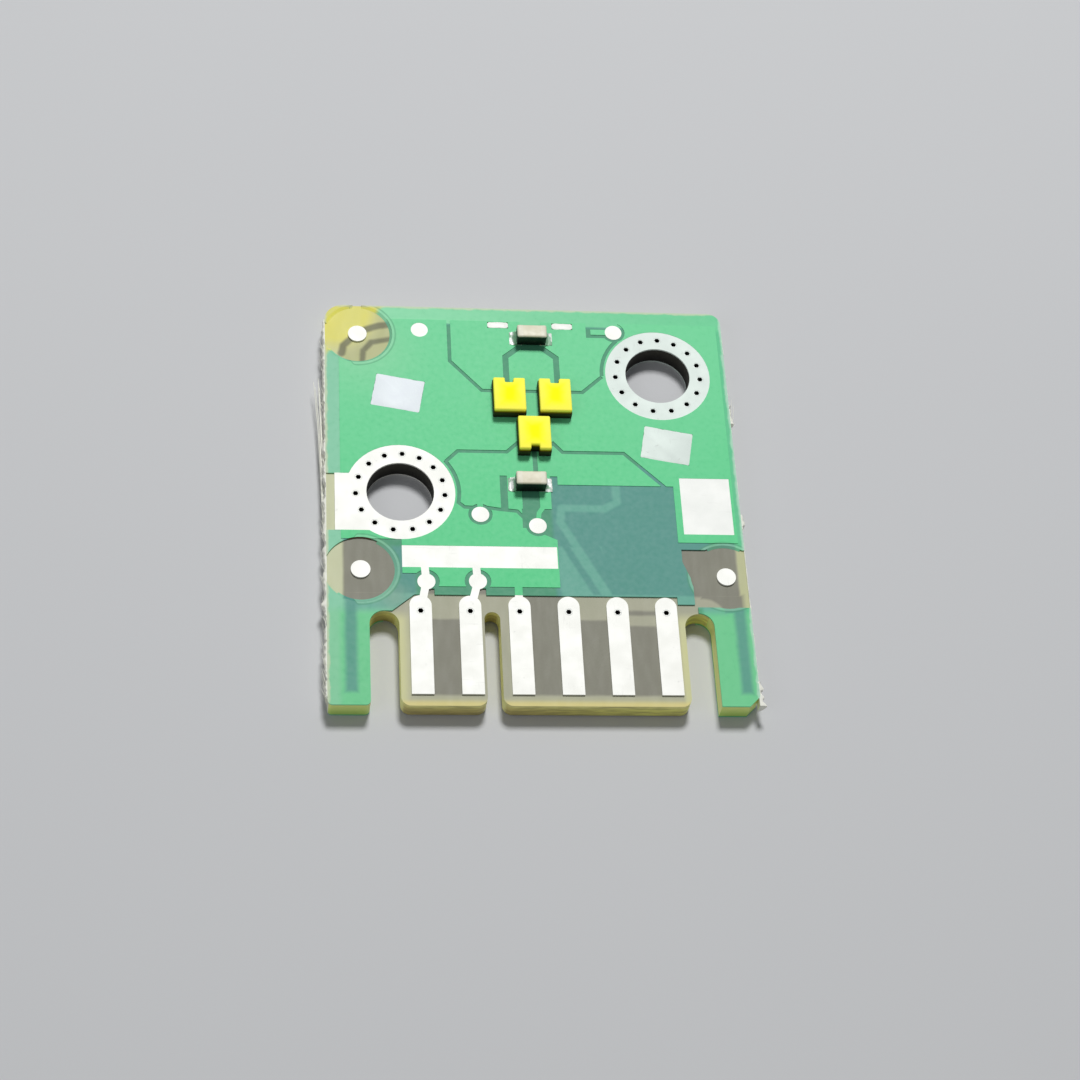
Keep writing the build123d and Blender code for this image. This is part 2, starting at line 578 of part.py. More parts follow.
# Solder mask on the component side: it fills the gaps in the copper and stands a step higher on top of it
with BuildPart() as top_mask:
    with BuildSketch(Plane.XY.offset(TOP_COPPER_Z)):
        add(top_coated.sketch)
    extrude(amount=MASK_FILL)
    with BuildSketch(Plane.XY.offset(TOP_COPPER_Z)):
        add(top_coated.sketch)
        add(top_pour.sketch, mode=Mode.INTERSECT)
    extrude(amount=COPPER + MASK)
    with BuildSketch(Plane.XY.offset(TOP_COPPER_Z)):
        add(top_pour.sketch)
    extrude(amount=COPPER, mode=Mode.SUBTRACT)
export(top_mask, "top_mask")

# Copper foil and mask on the underside
with BuildPart() as under_copper:
    with BuildSketch(Plane.XY.offset(UNDER_COPPER_Z)):
        add(under_pour.sketch)
        add(under_windows.sketch, mode=Mode.SUBTRACT)
    extrude(amount=COPPER)
export(under_copper, "under_copper_pour")

with BuildPart() as under_mask:
    with BuildSketch():
        add(outline.sketch)
        add(under_windows.sketch, mode=Mode.SUBTRACT)
    extrude(amount=LAMINATE_Z)
    add(under_copper.part, mode=Mode.SUBTRACT)
export(under_mask, "under_mask")


# Light sources
def led_profile(facing, inset):
    """A light source from above, with its notch in the facing side; the inset draws every side in."""
    Rectangle(LED_WIDTH - 2 * inset, LED_LENGTH - 2 * inset)
    notch_y = facing * (LED_LENGTH - NOTCH_DEPTH - inset) / 2
    with Locations((0, notch_y)):
        Rectangle(NOTCH_WIDTH + 2 * inset, NOTCH_DEPTH + inset, mode=Mode.SUBTRACT)


def outer_corners(block):
    """The upright edges at a block's four outermost corners."""
    uprights = block.edges().filter_by(Axis.Z)
    return uprights.group_by(Axis.X)[0] + uprights.group_by(Axis.X)[-1]


def build_led(number, centre, facing):
    """A light source: ceramic body, phosphor block on top of it, and three pads of solder below."""
    with BuildPart() as body:
        with BuildSketch(Plane((*centre, SEAT_Z))):
            led_profile(facing, 0)
        extrude(amount=LED_BODY)
        chamfer(outer_corners(body), LED_CORNER)
    export(body, f"led_{number}_body")

    with BuildPart() as phosphor:
        with BuildSketch(Plane((*centre, SEAT_Z + LED_BODY))):
            led_profile(facing, PHOSPHOR_INSET)
        extrude(amount=PHOSPHOR)
        chamfer(outer_corners(phosphor), LED_CORNER - PHOSPHOR_INSET)
    export(phosphor, f"led_{number}_phosphor")

    with BuildPart() as solder:
        with BuildSketch(Plane.XY.offset(TOP_MASK_Z)):
            led_pads(centre, facing)
        extrude(amount=SOLDER)
    export(solder, f"led_{number}_solder")


for number, (centre, facing) in enumerate(((LED_1, 1), (LED_2, 1), (LED_3, -1)), start=1):
    build_led(number, centre, facing)


# Chip capacitors
def build_capacitor(number, centre):
    """A chip capacitor: ceramic block, two plated end caps, and a pad and fillet of solder at each end."""
    with BuildPart() as ceramic:
        with BuildSketch(Plane((*centre, SEAT_Z + CAP_WALL))):
            Rectangle(CHIP_LENGTH - 2 * CAP_WALL, CHIP_DEPTH - 2 * CAP_WALL)
        extrude(amount=CHIP_HEIGHT - 2 * CAP_WALL)
        chamfer(ceramic.edges().filter_by(Axis.X), CHIP_EDGE)
    export(ceramic, f"capacitor_{number}_ceramic")

    with BuildPart() as end_caps:
        with BuildSketch(Plane((*centre, SEAT_Z))):
            Rectangle(CHIP_LENGTH, CHIP_DEPTH)
        extrude(amount=CHIP_HEIGHT)
        chamfer(end_caps.edges(), CHIP_EDGE)
        with BuildSketch(Plane((*centre, SEAT_Z))):
            Rectangle(CHIP_LENGTH - 2 * CHIP_CAP, CHIP_DEPTH)
        extrude(amount=CHIP_HEIGHT, mode=Mode.SUBTRACT)
        add(ceramic.part, mode=Mode.SUBTRACT)
    export(end_caps, f"capacitor_{number}_end_caps")

    with BuildPart() as solder:
        with BuildSketch(Plane.XY.offset(TOP_MASK_Z)):
            chip_pads(centre)
        extrude(amount=SOLDER)
        with BuildSketch(Plane.XZ.offset(-centre[1])):
            for side in (-1, 1):
                end_x = centre[0] + side * CHIP_LENGTH / 2
                toe = (end_x + side * FILLET_REACH, TOP_MASK_Z)
                peak = (end_x, SEAT_Z + FILLET_HEIGHT)
                with BuildLine() as section:
                    Line(toe, (end_x, TOP_MASK_Z))
                    Line((end_x, TOP_MASK_Z), peak)
                    SagittaArc(peak, toe, side * FILLET_SAG)
                make_face(section.edges())
        extrude(amount=CHIP_DEPTH / 2, both=True)
    export(solder, f"capacitor_{number}_solder")


for number, centre in enumerate(CHIPS, start=1):
    build_capacitor(number, centre)
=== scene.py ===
import json
import random
from math import cos, pi, radians, sin

import bmesh
import bpy
from mathutils import Matrix, Vector, noise


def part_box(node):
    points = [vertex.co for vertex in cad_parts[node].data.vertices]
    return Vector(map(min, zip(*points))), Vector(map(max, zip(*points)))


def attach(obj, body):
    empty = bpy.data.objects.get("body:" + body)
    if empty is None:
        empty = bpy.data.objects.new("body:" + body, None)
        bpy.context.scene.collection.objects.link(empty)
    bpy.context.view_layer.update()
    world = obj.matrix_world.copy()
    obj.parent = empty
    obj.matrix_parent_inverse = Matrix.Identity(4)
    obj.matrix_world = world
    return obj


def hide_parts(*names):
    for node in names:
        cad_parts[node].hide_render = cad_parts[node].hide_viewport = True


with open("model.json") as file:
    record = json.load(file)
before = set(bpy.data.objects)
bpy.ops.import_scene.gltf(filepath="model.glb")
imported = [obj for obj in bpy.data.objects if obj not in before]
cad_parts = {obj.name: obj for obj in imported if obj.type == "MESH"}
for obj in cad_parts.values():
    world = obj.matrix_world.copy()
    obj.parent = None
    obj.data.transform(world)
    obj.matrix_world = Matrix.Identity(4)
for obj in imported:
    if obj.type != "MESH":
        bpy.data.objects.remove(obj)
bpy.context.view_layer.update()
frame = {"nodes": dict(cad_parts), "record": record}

MM = 0.001

# ---------------------------------------------------------------- places, mm, read from the imported model, and some given


def box_mm(node):
    """A node's lowest and highest corners in millimetres."""
    low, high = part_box(node)
    return Vector(low) / MM, Vector(high) / MM


BOARD_LOW, BOARD_HIGH = box_mm("laminate")
UNDER_LOW, UNDER_HIGH = box_mm("under_copper_pour")
MASK_TOP = box_mm("top_mask")[1].z
LAMINATE_TOP = BOARD_HIGH.z
PAD_TOP = box_mm("edge_pad")[1].z
GAP_LEVEL = MASK_TOP - 0.015
RING_LOW, RING_HIGH = box_mm("hole_1_land")
HOLE_1 = (RING_LOW + RING_HIGH) / 2
PAD_RADIUS = (RING_HIGH.x - RING_LOW.x) / 2
HOLE_2 = Vector((0, 0, 0))
HOLE_2.x = box_mm("hole_2_land")[1].x - PAD_RADIUS
HOLE_2.y = box_mm("hole_2_land")[1].y - PAD_RADIUS
HOLE_RADIUS = 1.75
FINGER_LOW, FINGER_HIGH = box_mm("contact_finger_4")
PITCH = (box_mm("contact_finger_6")[0].x - FINGER_LOW.x) / 2
FINGERS = [(FINGER_LOW.x + FINGER_HIGH.x) / 2 + k * PITCH for k in range(-3, 3)]
FINGER_FOOT = box_mm("contact_finger_3")[0].y
SLOT_TOP = BOARD_LOW.y + 5.275
FIDUCIALS = [Vector((-9.05, 10.145)), Vector((-9.08, -4.355)), Vector((9.7, -4.575))]
WINDOW_RADIUS = 1.87


# ---------------------------------------------------------------- material graphs
def colour(red, green, blue):
    """A display colour, 0 to 255, as the linear colour that a shader takes."""
    return tuple((c / 255) ** 2.2 for c in (red, green, blue)) + (1.0,)


class Graph:
    """One node material, with its places measured in millimetres on the board."""

    def __init__(self, name):
        self.material = bpy.data.materials.new(name)
        self.material.use_nodes = True
        self.tree = self.material.node_tree
        self.tree.nodes.clear()
        self.shader = self.tree.nodes.new("ShaderNodeBsdfPrincipled")
        output = self.tree.nodes.new("ShaderNodeOutputMaterial")
        self.tree.links.new(self.shader.outputs[0], output.inputs[0])
        place = self.tree.nodes.new("ShaderNodeTexCoord").outputs["Object"]
        self.place = self.vector("SCALE", place, scale=1 / MM)
        parts = self.tree.nodes.new("ShaderNodeSeparateXYZ")
        self.tree.links.new(self.place, parts.inputs[0])
        self.x, self.y, self.z = parts.outputs
        shape = self.tree.nodes.new("ShaderNodeNewGeometry")
        side = self.tree.nodes.new("ShaderNodeSeparateXYZ")
        self.tree.links.new(shape.outputs["True Normal"], side.inputs[0])
        self.nx, _, self.nz = side.outputs

    def put(self, socket, value):
        if isinstance(value, bpy.types.NodeSocket):
            self.tree.links.new(value, socket)
        else:
            socket.default_value = value

    def math(self, operation, *values, clamp=False):
        node = self.tree.nodes.new("ShaderNodeMath")
        node.operation = operation
        node.use_clamp = clamp
        for socket, value in zip(node.inputs, values):
            self.put(socket, value)
        return node.outputs[0]

    # Short names for arithmetic on sockets and numbers
    def plus(self, first, second):
        return self.math("ADD", first, second)

    def minus(self, first, second, clamp=False):
        return self.math("SUBTRACT", first, second, clamp=clamp)

    def times(self, first, second):
        return self.math("MULTIPLY", first, second)

    def most(self, first, second, clamp=False):
        return self.math("MAXIMUM", first, second, clamp=clamp)

    def least(self, first, second):
        return self.math("MINIMUM", first, second)

    def vector(self, operation, *values, scale=None):
        node = self.tree.nodes.new("ShaderNodeVectorMath")
        node.operation = operation
        for socket, value in zip(node.inputs, values):
            self.put(socket, value)
        if scale is not None:
            self.put(node.inputs["Scale"], scale)
        return node.outputs["Value" if operation in ("DOT_PRODUCT", "LENGTH", "DISTANCE") else "Vector"]

    def ramp(self, value, start, end, low=0.0, high=1.0):
        """Eases from low to high while the value goes from start to end."""
        node = self.tree.nodes.new("ShaderNodeMapRange")
        node.interpolation_type = "SMOOTHSTEP"
        for socket, given in zip(node.inputs, (value, start, end, low, high)):
            self.put(socket, given)
        return node.outputs[0]

    def mix(self, factor, first, second):
        """Mixes two colours: in a colour mix they are sockets 6 and 7, and the result is output 2."""
        node = self.tree.nodes.new("ShaderNodeMix")
        node.data_type = "RGBA"
        self.put(node.inputs[0], factor)
        self.put(node.inputs[6], first)
        self.put(node.inputs[7], second)
        return node.outputs[2]

    def noise(self, size, detail=2.0, stretch=(1, 1, 1), shift=0.0, rough=0.5):
        """Cloudy noise, 0 to 1, with features of about one size in millimetres."""
        node = self.tree.nodes.new("ShaderNodeTexNoise")
        scaled = self.vector("MULTIPLY", self.place, [s / size for s in stretch])
        self.put(node.inputs["Vector"], self.vector("ADD", scaled, (shift, shift * 2, -shift)))
        self.put(node.inputs["Scale"], 1.0)
        self.put(node.inputs["Detail"], detail)
        self.put(node.inputs["Roughness"], rough)
        return node.outputs[0]

    def specks(self, size, limit, shift=0.0):
        """Sparse small spots: 1 at a spot and 0 elsewhere."""
        return self.ramp(self.noise(size, 3.0, shift=shift, rough=0.6), limit, limit + 0.06)

    # Signed distances on the board, mm: below zero inside the shape
    def rectangle(self, x1, x2, y1, y2):
        dx = self.minus(self.math("ABSOLUTE", self.minus(self.x, (x1 + x2) / 2)), (x2 - x1) / 2)
        dy = self.minus(self.math("ABSOLUTE", self.minus(self.y, (y1 + y2) / 2)), (y2 - y1) / 2)
        return self.most(dx, dy)

    def flat_place(self):
        return self.vector("MULTIPLY", self.place, (1, 1, 0))

    def disc(self, centre, radius):
        away = self.vector("DISTANCE", self.flat_place(), (centre[0], centre[1], 0))
        return self.minus(away, radius)

    def band(self, width, *points):
        """A band of one width along straight stretches."""
        flat = self.flat_place()
        found = None
        for first, second in zip(points, points[1:]):
            along = Vector((second[0] - first[0], second[1] - first[1], 0))
            start = self.vector("SUBTRACT", flat, (first[0], first[1], 0))
            share = self.vector("DOT_PRODUCT", start, along / along.length_squared)
            share = self.least(self.most(share, 0.0), 1.0)
            reach = self.vector("SCALE", tuple(along), scale=share)
            away = self.vector("LENGTH", self.vector("SUBTRACT", start, reach))
            found = away if found is None else self.least(found, away)
        return self.minus(found, width / 2)

    def union(self, *shapes):
        found = shapes[0]
        for shape in shapes[1:]:
            found = self.least(found, shape)
        return found

    def without(self, shape, *cuts):
        for cut in cuts:
            shape = self.most(shape, self.times(cut, -1.0))
        return shape

    def inside(self, shape, blur=0.06):
        return self.ramp(shape, blur, -blur)

    def bump(self, height, depth, strength=1.0):
        """Relief: the height runs 0 to 1 over a depth in millimetres."""
        node = self.tree.nodes.new("ShaderNodeBump")
        self.put(node.inputs["Height"], height)
        node.inputs["Distance"].default_value = depth * MM
        node.inputs["Strength"].default_value = strength
        self.tree.links.new(node.outputs[0], self.shader.inputs["Normal"])

    def finish(self, base, roughness, **fixed):
        self.put(self.shader.inputs["Base Color"], base)
        self.put(self.shader.inputs["Roughness"], roughness)
        for name, value in fixed.items():
            self.shader.inputs[name.replace("_", " ")].default_value = value
        return self.material


def under_copper(graph):
    """The underside copper as it shows through the laminate: 1 over copper, 0 over none, with soft edges."""
    track = 0.65
    foot = SLOT_TOP + 1
    wobble = graph.times(graph.minus(graph.noise(0.8, 2.0), 0.5), 0.1)
    pour = graph.rectangle(UNDER_LOW.x, UNDER_HIGH.x, foot, UNDER_HIGH.y)
    pour = graph.without(
        pour,
        graph.disc(FIDUCIALS[0], WINDOW_RADIUS + 0.25),
        graph.band(0.42, (4.3, 1.9), (4.3, -0.2), (3.6, -0.6), (1.35, -0.58), (1.25, -1.4), (3.5, -5.75)),
        graph.without(
            graph.rectangle(1.05, 3.3, foot - 0.1, -2.9),
            graph.band(0.36, (1.15, -2.3), (3.0, -5.85)),
            graph.band(1.1, (2.3, -2.2), (4.1, -5.85)),
        ),
    )
    right_foot = graph.rectangle(8.3, 10.45, foot - 0.95, foot + 0.1)
    shapes = [pour, graph.without(right_foot, graph.disc((8.4, SLOT_TOP - 0.2), 1.1))]
    left_foot = graph.rectangle(UNDER_LOW.x, -7.6, foot - 0.7, foot + 0.1)
    shapes.append(graph.most(left_foot, graph.disc(FIDUCIALS[1], WINDOW_RADIUS + 0.06)))
    arm_tracks = graph.union(
        graph.rectangle(UNDER_LOW.x + 0.04, UNDER_LOW.x + track, FINGER_FOOT + 0.1, foot + 0.1),
        graph.rectangle(9.9, 10.5, FINGER_FOOT + 0.1, foot + 0.1),
    )
    shapes.append(graph.band(0.4, (-9.9, 8.9), (-9.8, 9.4), (-8.9, 10.35), (-7.9, 10.75), (-7.5, 10.8)))
    shapes.append(graph.band(0.34, (-8.8, 8.3), (-8.75, 9.1), (-8.3, 9.65), (-7.2, 9.9)))
    shapes.append(graph.band(0.16, (-8.05, 8.5), (-7.5, 8.95)))
    contact_top = FINGER_FOOT + 4.25
    shapes.append(graph.rectangle(FINGERS[0] - 0.45, FINGERS[1] + 0.45, FINGER_FOOT, contact_top))
    shapes.append(graph.rectangle(FINGERS[2] - 0.45, FINGERS[4], FINGER_FOOT, contact_top))
    shapes.append(graph.rectangle(FINGERS[4], FINGERS[5] + 0.45, FINGER_FOOT, contact_top - 0.3))
    shapes.append(graph.rectangle(FINGERS[2] + 0.3, FINGERS[3] - 0.3, contact_top - 0.2, foot + 0.2))
    shapes.append(graph.rectangle(FINGERS[4], FINGERS[5], SLOT_TOP - 0.13, SLOT_TOP + 0.15))
    sharp = graph.inside(graph.plus(graph.union(*shapes), wobble), 0.1)
    soft = graph.times(graph.inside(graph.plus(arm_tracks, wobble), 0.17), 0.85)
    return graph.most(sharp, soft)


def make_laminate():
    graph = Graph("glass_laminate")
    copper = under_copper(graph)
    cloud = graph.noise(1.6, 3.0)
    weave = graph.noise(0.35, 3.0, stretch=(1.0, 0.25, 1.0), shift=3.0)
    # Light that comes in at an edge turns the laminate yellow there
    tongue_left = graph.ramp(graph.x, FINGERS[0] - 0.35, FINGERS[0] - 1.05)
    tongue_right = graph.ramp(graph.x, FINGERS[5] + 0.42, FINGERS[5] + 0.75)
    front = graph.ramp(graph.y, FINGER_FOOT + 0.1, BOARD_LOW.y)
    far_left = graph.ramp(graph.x, -9.6, -10.1)
    far_right = graph.ramp(graph.x, 10.2, 10.45)
    corner = graph.inside(graph.disc((-10.3, 11.6), 2.35), 0.7)
    on_tongue = graph.ramp(graph.y, SLOT_TOP + 0.2, SLOT_TOP - 0.6)
    rim = graph.times(graph.most(tongue_left, tongue_right), on_tongue)
    rim = graph.most(rim, graph.times(front, graph.times(on_tongue, 0.55)))
    rim = graph.most(rim, graph.times(graph.most(far_left, far_right), 0.8))
    rim = graph.most(rim, corner, clamp=True)
    bare = graph.mix(cloud, colour(176, 174, 150), colour(164, 166, 140))
    bare = graph.mix(graph.inside(graph.disc(FIDUCIALS[0], WINDOW_RADIUS), 0.1), bare, colour(188, 190, 134))
    lit = graph.mix(cloud, colour(214, 212, 146), colour(204, 206, 160))
    lit = graph.mix(graph.times(far_right, 0.7), lit, colour(190, 194, 142))
    lit = graph.mix(graph.times(far_left, 0.7), lit, colour(212, 218, 180))
    lit = graph.mix(corner, lit, graph.mix(cloud, colour(238, 228, 98), colour(222, 220, 122)))
    light = graph.mix(rim, bare, lit)
    front_glow = graph.times(graph.ramp(graph.y, BOARD_LOW.y + 0.4, BOARD_LOW.y + 0.1), 0.7)
    light = graph.mix(front_glow, light, colour(232, 214, 124))
    dark = graph.mix(cloud, colour(122, 120, 106), colour(130, 129, 113))
    dark = graph.mix(graph.times(graph.ramp(weave, 0.4, 0.75), 0.14), dark, colour(124, 121, 109))
    first_window = graph.inside(graph.disc(FIDUCIALS[0], WINDOW_RADIUS + 0.3), 0.1)
    dark = graph.mix(first_window, dark, colour(112, 113, 80))
    top = graph.mix(graph.times(copper, 0.92), light, dark)

    # Cut walls: layers of glass cloth, olive under mask; painted light makes them yellower and paler towards
    # their top, towards the right and on the sides that face along x, and painted shade makes them nearly
    # black inside the holes
    depth = graph.ramp(graph.z, 0.15, LAMINATE_TOP)
    layers = graph.noise(0.3, 3.0, stretch=(0.25, 0.25, 1.6), shift=7.0)
    wall = graph.mix(depth, colour(196, 180, 112), colour(240, 228, 132))
    to_right = graph.ramp(graph.x, -3.0, 6.5)
    wall = graph.mix(graph.times(to_right, 0.8), wall, colour(255, 255, 136))
    upper_part = graph.ramp(graph.z, LAMINATE_TOP - 0.42, LAMINATE_TOP - 0.02)
    wall = graph.mix(upper_part, wall, colour(255, 248, 160))
    wall = graph.mix(graph.times(graph.ramp(layers, 0.35, 0.7), 0.5), wall, colour(150, 140, 92))
    arms = graph.math("GREATER_THAN", graph.math("ABSOLUTE", graph.x), 8.6)
    green = graph.mix(depth, colour(200, 236, 120), colour(240, 255, 150))
    wall = graph.mix(arms, wall, green)
    # Painted light: walls that face along x are made paler
    sides = graph.ramp(graph.math("ABSOLUTE", graph.nx), 0.6, 0.9)
    wall = graph.mix(graph.times(sides, 0.75), wall, colour(255, 255, 172))
    outer = graph.math("GREATER_THAN", graph.math("ABSOLUTE", graph.x), BOARD_HIGH.x - 0.05)
    back = graph.math("GREATER_THAN", graph.y, BOARD_HIGH.y - 0.4)
    outer = graph.most(outer, back)
    streaks = graph.noise(0.12, 3.0, stretch=(1, 1, 0.2), shift=11.0)
    fibre = graph.mix(graph.ramp(streaks, 0.3, 0.7), colour(206, 208, 184), colour(236, 238, 222))
    wall = graph.mix(outer, wall, fibre)
    # Painted shade: inside the holes the walls are nearly black
    holes = graph.union(graph.disc(HOLE_1, HOLE_RADIUS + 0.1), graph.disc(HOLE_2, HOLE_RADIUS + 0.1))
    hole_wall_shade = graph.mix(depth, colour(30, 29, 24), colour(52, 50, 38))
    wall = graph.mix(graph.inside(holes, 0.02), wall, hole_wall_shade)
    upright = graph.ramp(graph.math("ABSOLUTE", graph.nz), 0.4, 0.2)
    base = graph.mix(upright, top, wall)
    graph.bump(graph.noise(0.12, 4.0, rough=0.6), 0.012, 0.5)
    return graph.finish(base, graph.ramp(weave, 0.2, 0.8, 0.48, 0.54), Specular_IOR_Level=0.35)


def make_mask(underside=False):
    graph = Graph("solder_mask_under" if underside else "solder_mask_top")
    copper_below = under_copper(graph)
    cloud = graph.noise(2.6, 3.0)
    fine = graph.noise(0.25, 4.0, shift=5.0)
    # Over top copper: mint, a little paler towards the far edge and the right
    far = graph.ramp(graph.y, -6.0, 12.0)
    mint = graph.mix(far, colour(92, 218, 144), colour(118, 224, 160))
    mint = graph.mix(graph.times(cloud, 0.35), mint, colour(128, 226, 170))
    near_corner = graph.inside(graph.disc((-8.6, 9.0), 2.0), 2.2)
    mint = graph.mix(graph.times(near_corner, 0.5), mint, colour(156, 228, 178))
    # Over bare laminate: teal over underside copper, brighter green where light comes through
    teal = graph.mix(cloud, colour(88, 156, 140), colour(98, 160, 150))
    clear = graph.mix(cloud, colour(116, 184, 162), colour(108, 176, 158))
    left_margin = graph.ramp(graph.x, -9.2, -9.9)
    right_margin = graph.ramp(graph.x, 8.9, 9.8)
    top_margin = graph.ramp(graph.y, 10.7, 11.0)
    arms = graph.ramp(graph.y, SLOT_TOP + 0.4, SLOT_TOP - 0.3)
    lush = graph.mix(graph.ramp(graph.x, -10.2, 0.0), colour(142, 214, 176), colour(104, 206, 151))
    far_margin = graph.mix(graph.ramp(graph.x, -8.0, 9.0), colour(146, 230, 178), colour(118, 218, 160))
    lush = graph.mix(top_margin, lush, far_margin)
    arm_light = graph.mix(graph.ramp(graph.x, -9.95, -10.35), colour(118, 214, 152), colour(138, 214, 166))
    lush = graph.mix(arms, lush, arm_light)
    margin = graph.most(left_margin, graph.most(right_margin, top_margin))
    clear = graph.mix(graph.most(margin, arms), clear, lush)
    gap = graph.mix(copper_below, clear, teal)
    # Narrow gaps between copper areas are a darker green than the open ground
    open_ground = graph.union(
        graph.rectangle(0.85, 9.0, -6.4, 2.05),
        graph.rectangle(-10.9, -6.3, -12.1, -3.0),
        graph.rectangle(8.3, 10.9, -12.1, -3.0),
    )
    narrow = graph.times(graph.inside(graph.times(open_ground, -1.0), 0.15),
                        graph.minus(1.0, margin, clamp=True))
    gap = graph.mix(graph.times(narrow, 0.75), gap, colour(82, 160, 116))
    # The corner between the left window and the slot is a little paler
    pale_corner = graph.inside(graph.disc((-7.4, -6.0), 0.6), 0.8)
    gap = graph.mix(graph.times(pale_corner, 0.7), gap, colour(140, 178, 156))
    raised = graph.math("GREATER_THAN", graph.z, GAP_LEVEL)
    upright = graph.ramp(graph.math("ABSOLUTE", graph.nz), 0.5, 0.3)
    if underside:
        base = graph.mix(copper_below, lush, mint)
    else:
        base = graph.mix(raised, gap, mint)
    # The far left corner is left bare, painted the yellow that the bare laminate takes where light comes in
    # at its edge, and the mask is paler along the board's edges
    uneven = graph.times(graph.minus(graph.noise(0.9, 2.0, shift=6.0), 0.5), 0.5)
    corner = graph.plus(graph.minus(graph.y, graph.x), uneven)
    corner = graph.ramp(corner, 19.35, 19.75)
    if not underside:
        base = graph.mix(corner, base, graph.mix(cloud, colour(238, 228, 104), colour(222, 222, 126)))
    # Painted light: at the bare corner the mask's upright faces and the window rim's slope get pale yellows
    # so that their shade does not show
    base = graph.mix(graph.times(upright, corner), base, colour(255, 252, 190))
    slope = graph.inside(graph.disc(FIDUCIALS[0], WINDOW_RADIUS), 0.02)
    base = graph.mix(graph.times(slope, corner), base, colour(255, 250, 120))
    # Round the windows: a painted highlight along the mask's lip, and a ring of painted shade just outside
    # it
    lip = graph.union(*(graph.disc(place, WINDOW_RADIUS) for place in FIDUCIALS))
    lip = graph.plus(lip, graph.ramp(graph.x, -9.2, -9.9))
    lip_highlight = graph.times(graph.ramp(lip, 0.16, 0.1), graph.minus(1.0, corner))
    lip_shade = graph.times(graph.ramp(lip, 0.1, 0.14), graph.ramp(lip, 0.24, 0.18))
    base = graph.mix(graph.times(lip_highlight, 0.45), base, colour(160, 226, 184))
    base = graph.mix(graph.times(lip_shade, 0.45), base, colour(84, 158, 116))
    # Near the side and back edges of the board the mask turns pale
    rough_rim = graph.times(graph.minus(graph.noise(0.5, 4.0, shift=2.0), 0.5), 0.22)
    away = graph.least(graph.minus(BOARD_HIGH.x, graph.math("ABSOLUTE", graph.x)),
                      graph.minus(BOARD_HIGH.y, graph.y))
    edge_paling = graph.ramp(graph.plus(away, rough_rim), 0.17, 0.04)
    on_right = graph.math("GREATER_THAN", graph.x, BOARD_HIGH.x - 0.4)
    pale = graph.mix(on_right, colour(214, 222, 190), colour(190, 230, 206))
    base = graph.mix(graph.times(edge_paling, 0.8), base, pale)
    base = graph.mix(graph.times(graph.ramp(fine, 0.55, 0.8), 0.1), base, colour(70, 150, 110))
    graph.bump(graph.plus(cloud, graph.times(fine, 0.2)), 0.02, 0.35)
    return graph.finish(base, graph.ramp(fine, 0.2, 0.8, 0.4, 0.5), Specular_IOR_Level=0.12)


def make_tin(name, light, shade, spots=0.66, marking=0.2, shine=0.5, rough=0.5):
    graph = Graph(name)
    cloud = graph.noise(0.9, 3.0, shift=1.0)
    grain = graph.noise(0.07, 3.0, shift=4.0)
    base = graph.mix(cloud, light, shade)
    marks = graph.times(graph.specks(0.4, spots, 9.0), marking)
    base = graph.mix(marks, base, colour(176, 178, 172))
    scratches = graph.ramp(graph.noise(0.16, 2.0, stretch=(1.0, 0.12, 1.0), shift=6.0), 0.66, 0.78)
    cross = graph.ramp(graph.noise(0.16, 2.0, stretch=(0.12, 1.0, 1.0), shift=2.0), 0.66, 0.78)
    base = graph.mix(graph.times(graph.most(scratches, cross), marking), base, colour(190, 190, 186))
    graph.bump(graph.plus(cloud, graph.times(grain, 0.5)), 0.02, 0.2)
    roughness = graph.ramp(cloud, 0.2, 0.8, rough, rough + 0.08)
    return graph.finish(base, roughness, Metallic=0.04, Specular_IOR_Level=shine)


def make_solder():
    """Reflowed solder with painted light: white patches are painted glints where it faces the light, and
    greenish grey patches a painted reflection of the mask.
    """
    graph = Graph("solder_joint")
    glint_patches = graph.noise(0.32, 2.0, stretch=(1.0, 0.7, 0.6), shift=3.0)
    base = graph.mix(graph.ramp(glint_patches, 0.42, 0.56), colour(255, 255, 252), colour(136, 176, 146))
    graph.bump(graph.noise(0.15, 3.0), 0.02, 0.6)
    roughness = graph.ramp(glint_patches, 0.3, 0.7, 0.25, 0.45)
    return graph.finish(base, roughness, Metallic=0.1, Specular_IOR_Level=0.6)


def make_via_tin():
    """Tin on the vias' mouths, with painted shade that turns it dark down the barrel."""
    graph = Graph("via_tin")
    cloud = graph.noise(0.3, 2.0)
    bright = graph.mix(cloud, colour(236, 240, 236), colour(206, 212, 208))
    base = graph.mix(graph.ramp(graph.z, PAD_TOP + 0.003, PAD_TOP - 0.008), bright, colour(22, 22, 20))
    graph.bump(graph.noise(0.05, 3.0), 0.004, 0.4)
    return graph.finish(base, graph.ramp(cloud, 0.2, 0.8, 0.4, 0.55), Metallic=0.2)


def make_copper():
    graph = Graph("copper_foil")
    cloud = graph.noise(0.6, 3.0)
    base = graph.mix(cloud, colour(196, 128, 92), colour(168, 104, 76))
    graph.bump(cloud, 0.01, 0.4)
    return graph.finish(base, graph.ramp(cloud, 0.2, 0.8, 0.35, 0.55), Metallic=0.9)


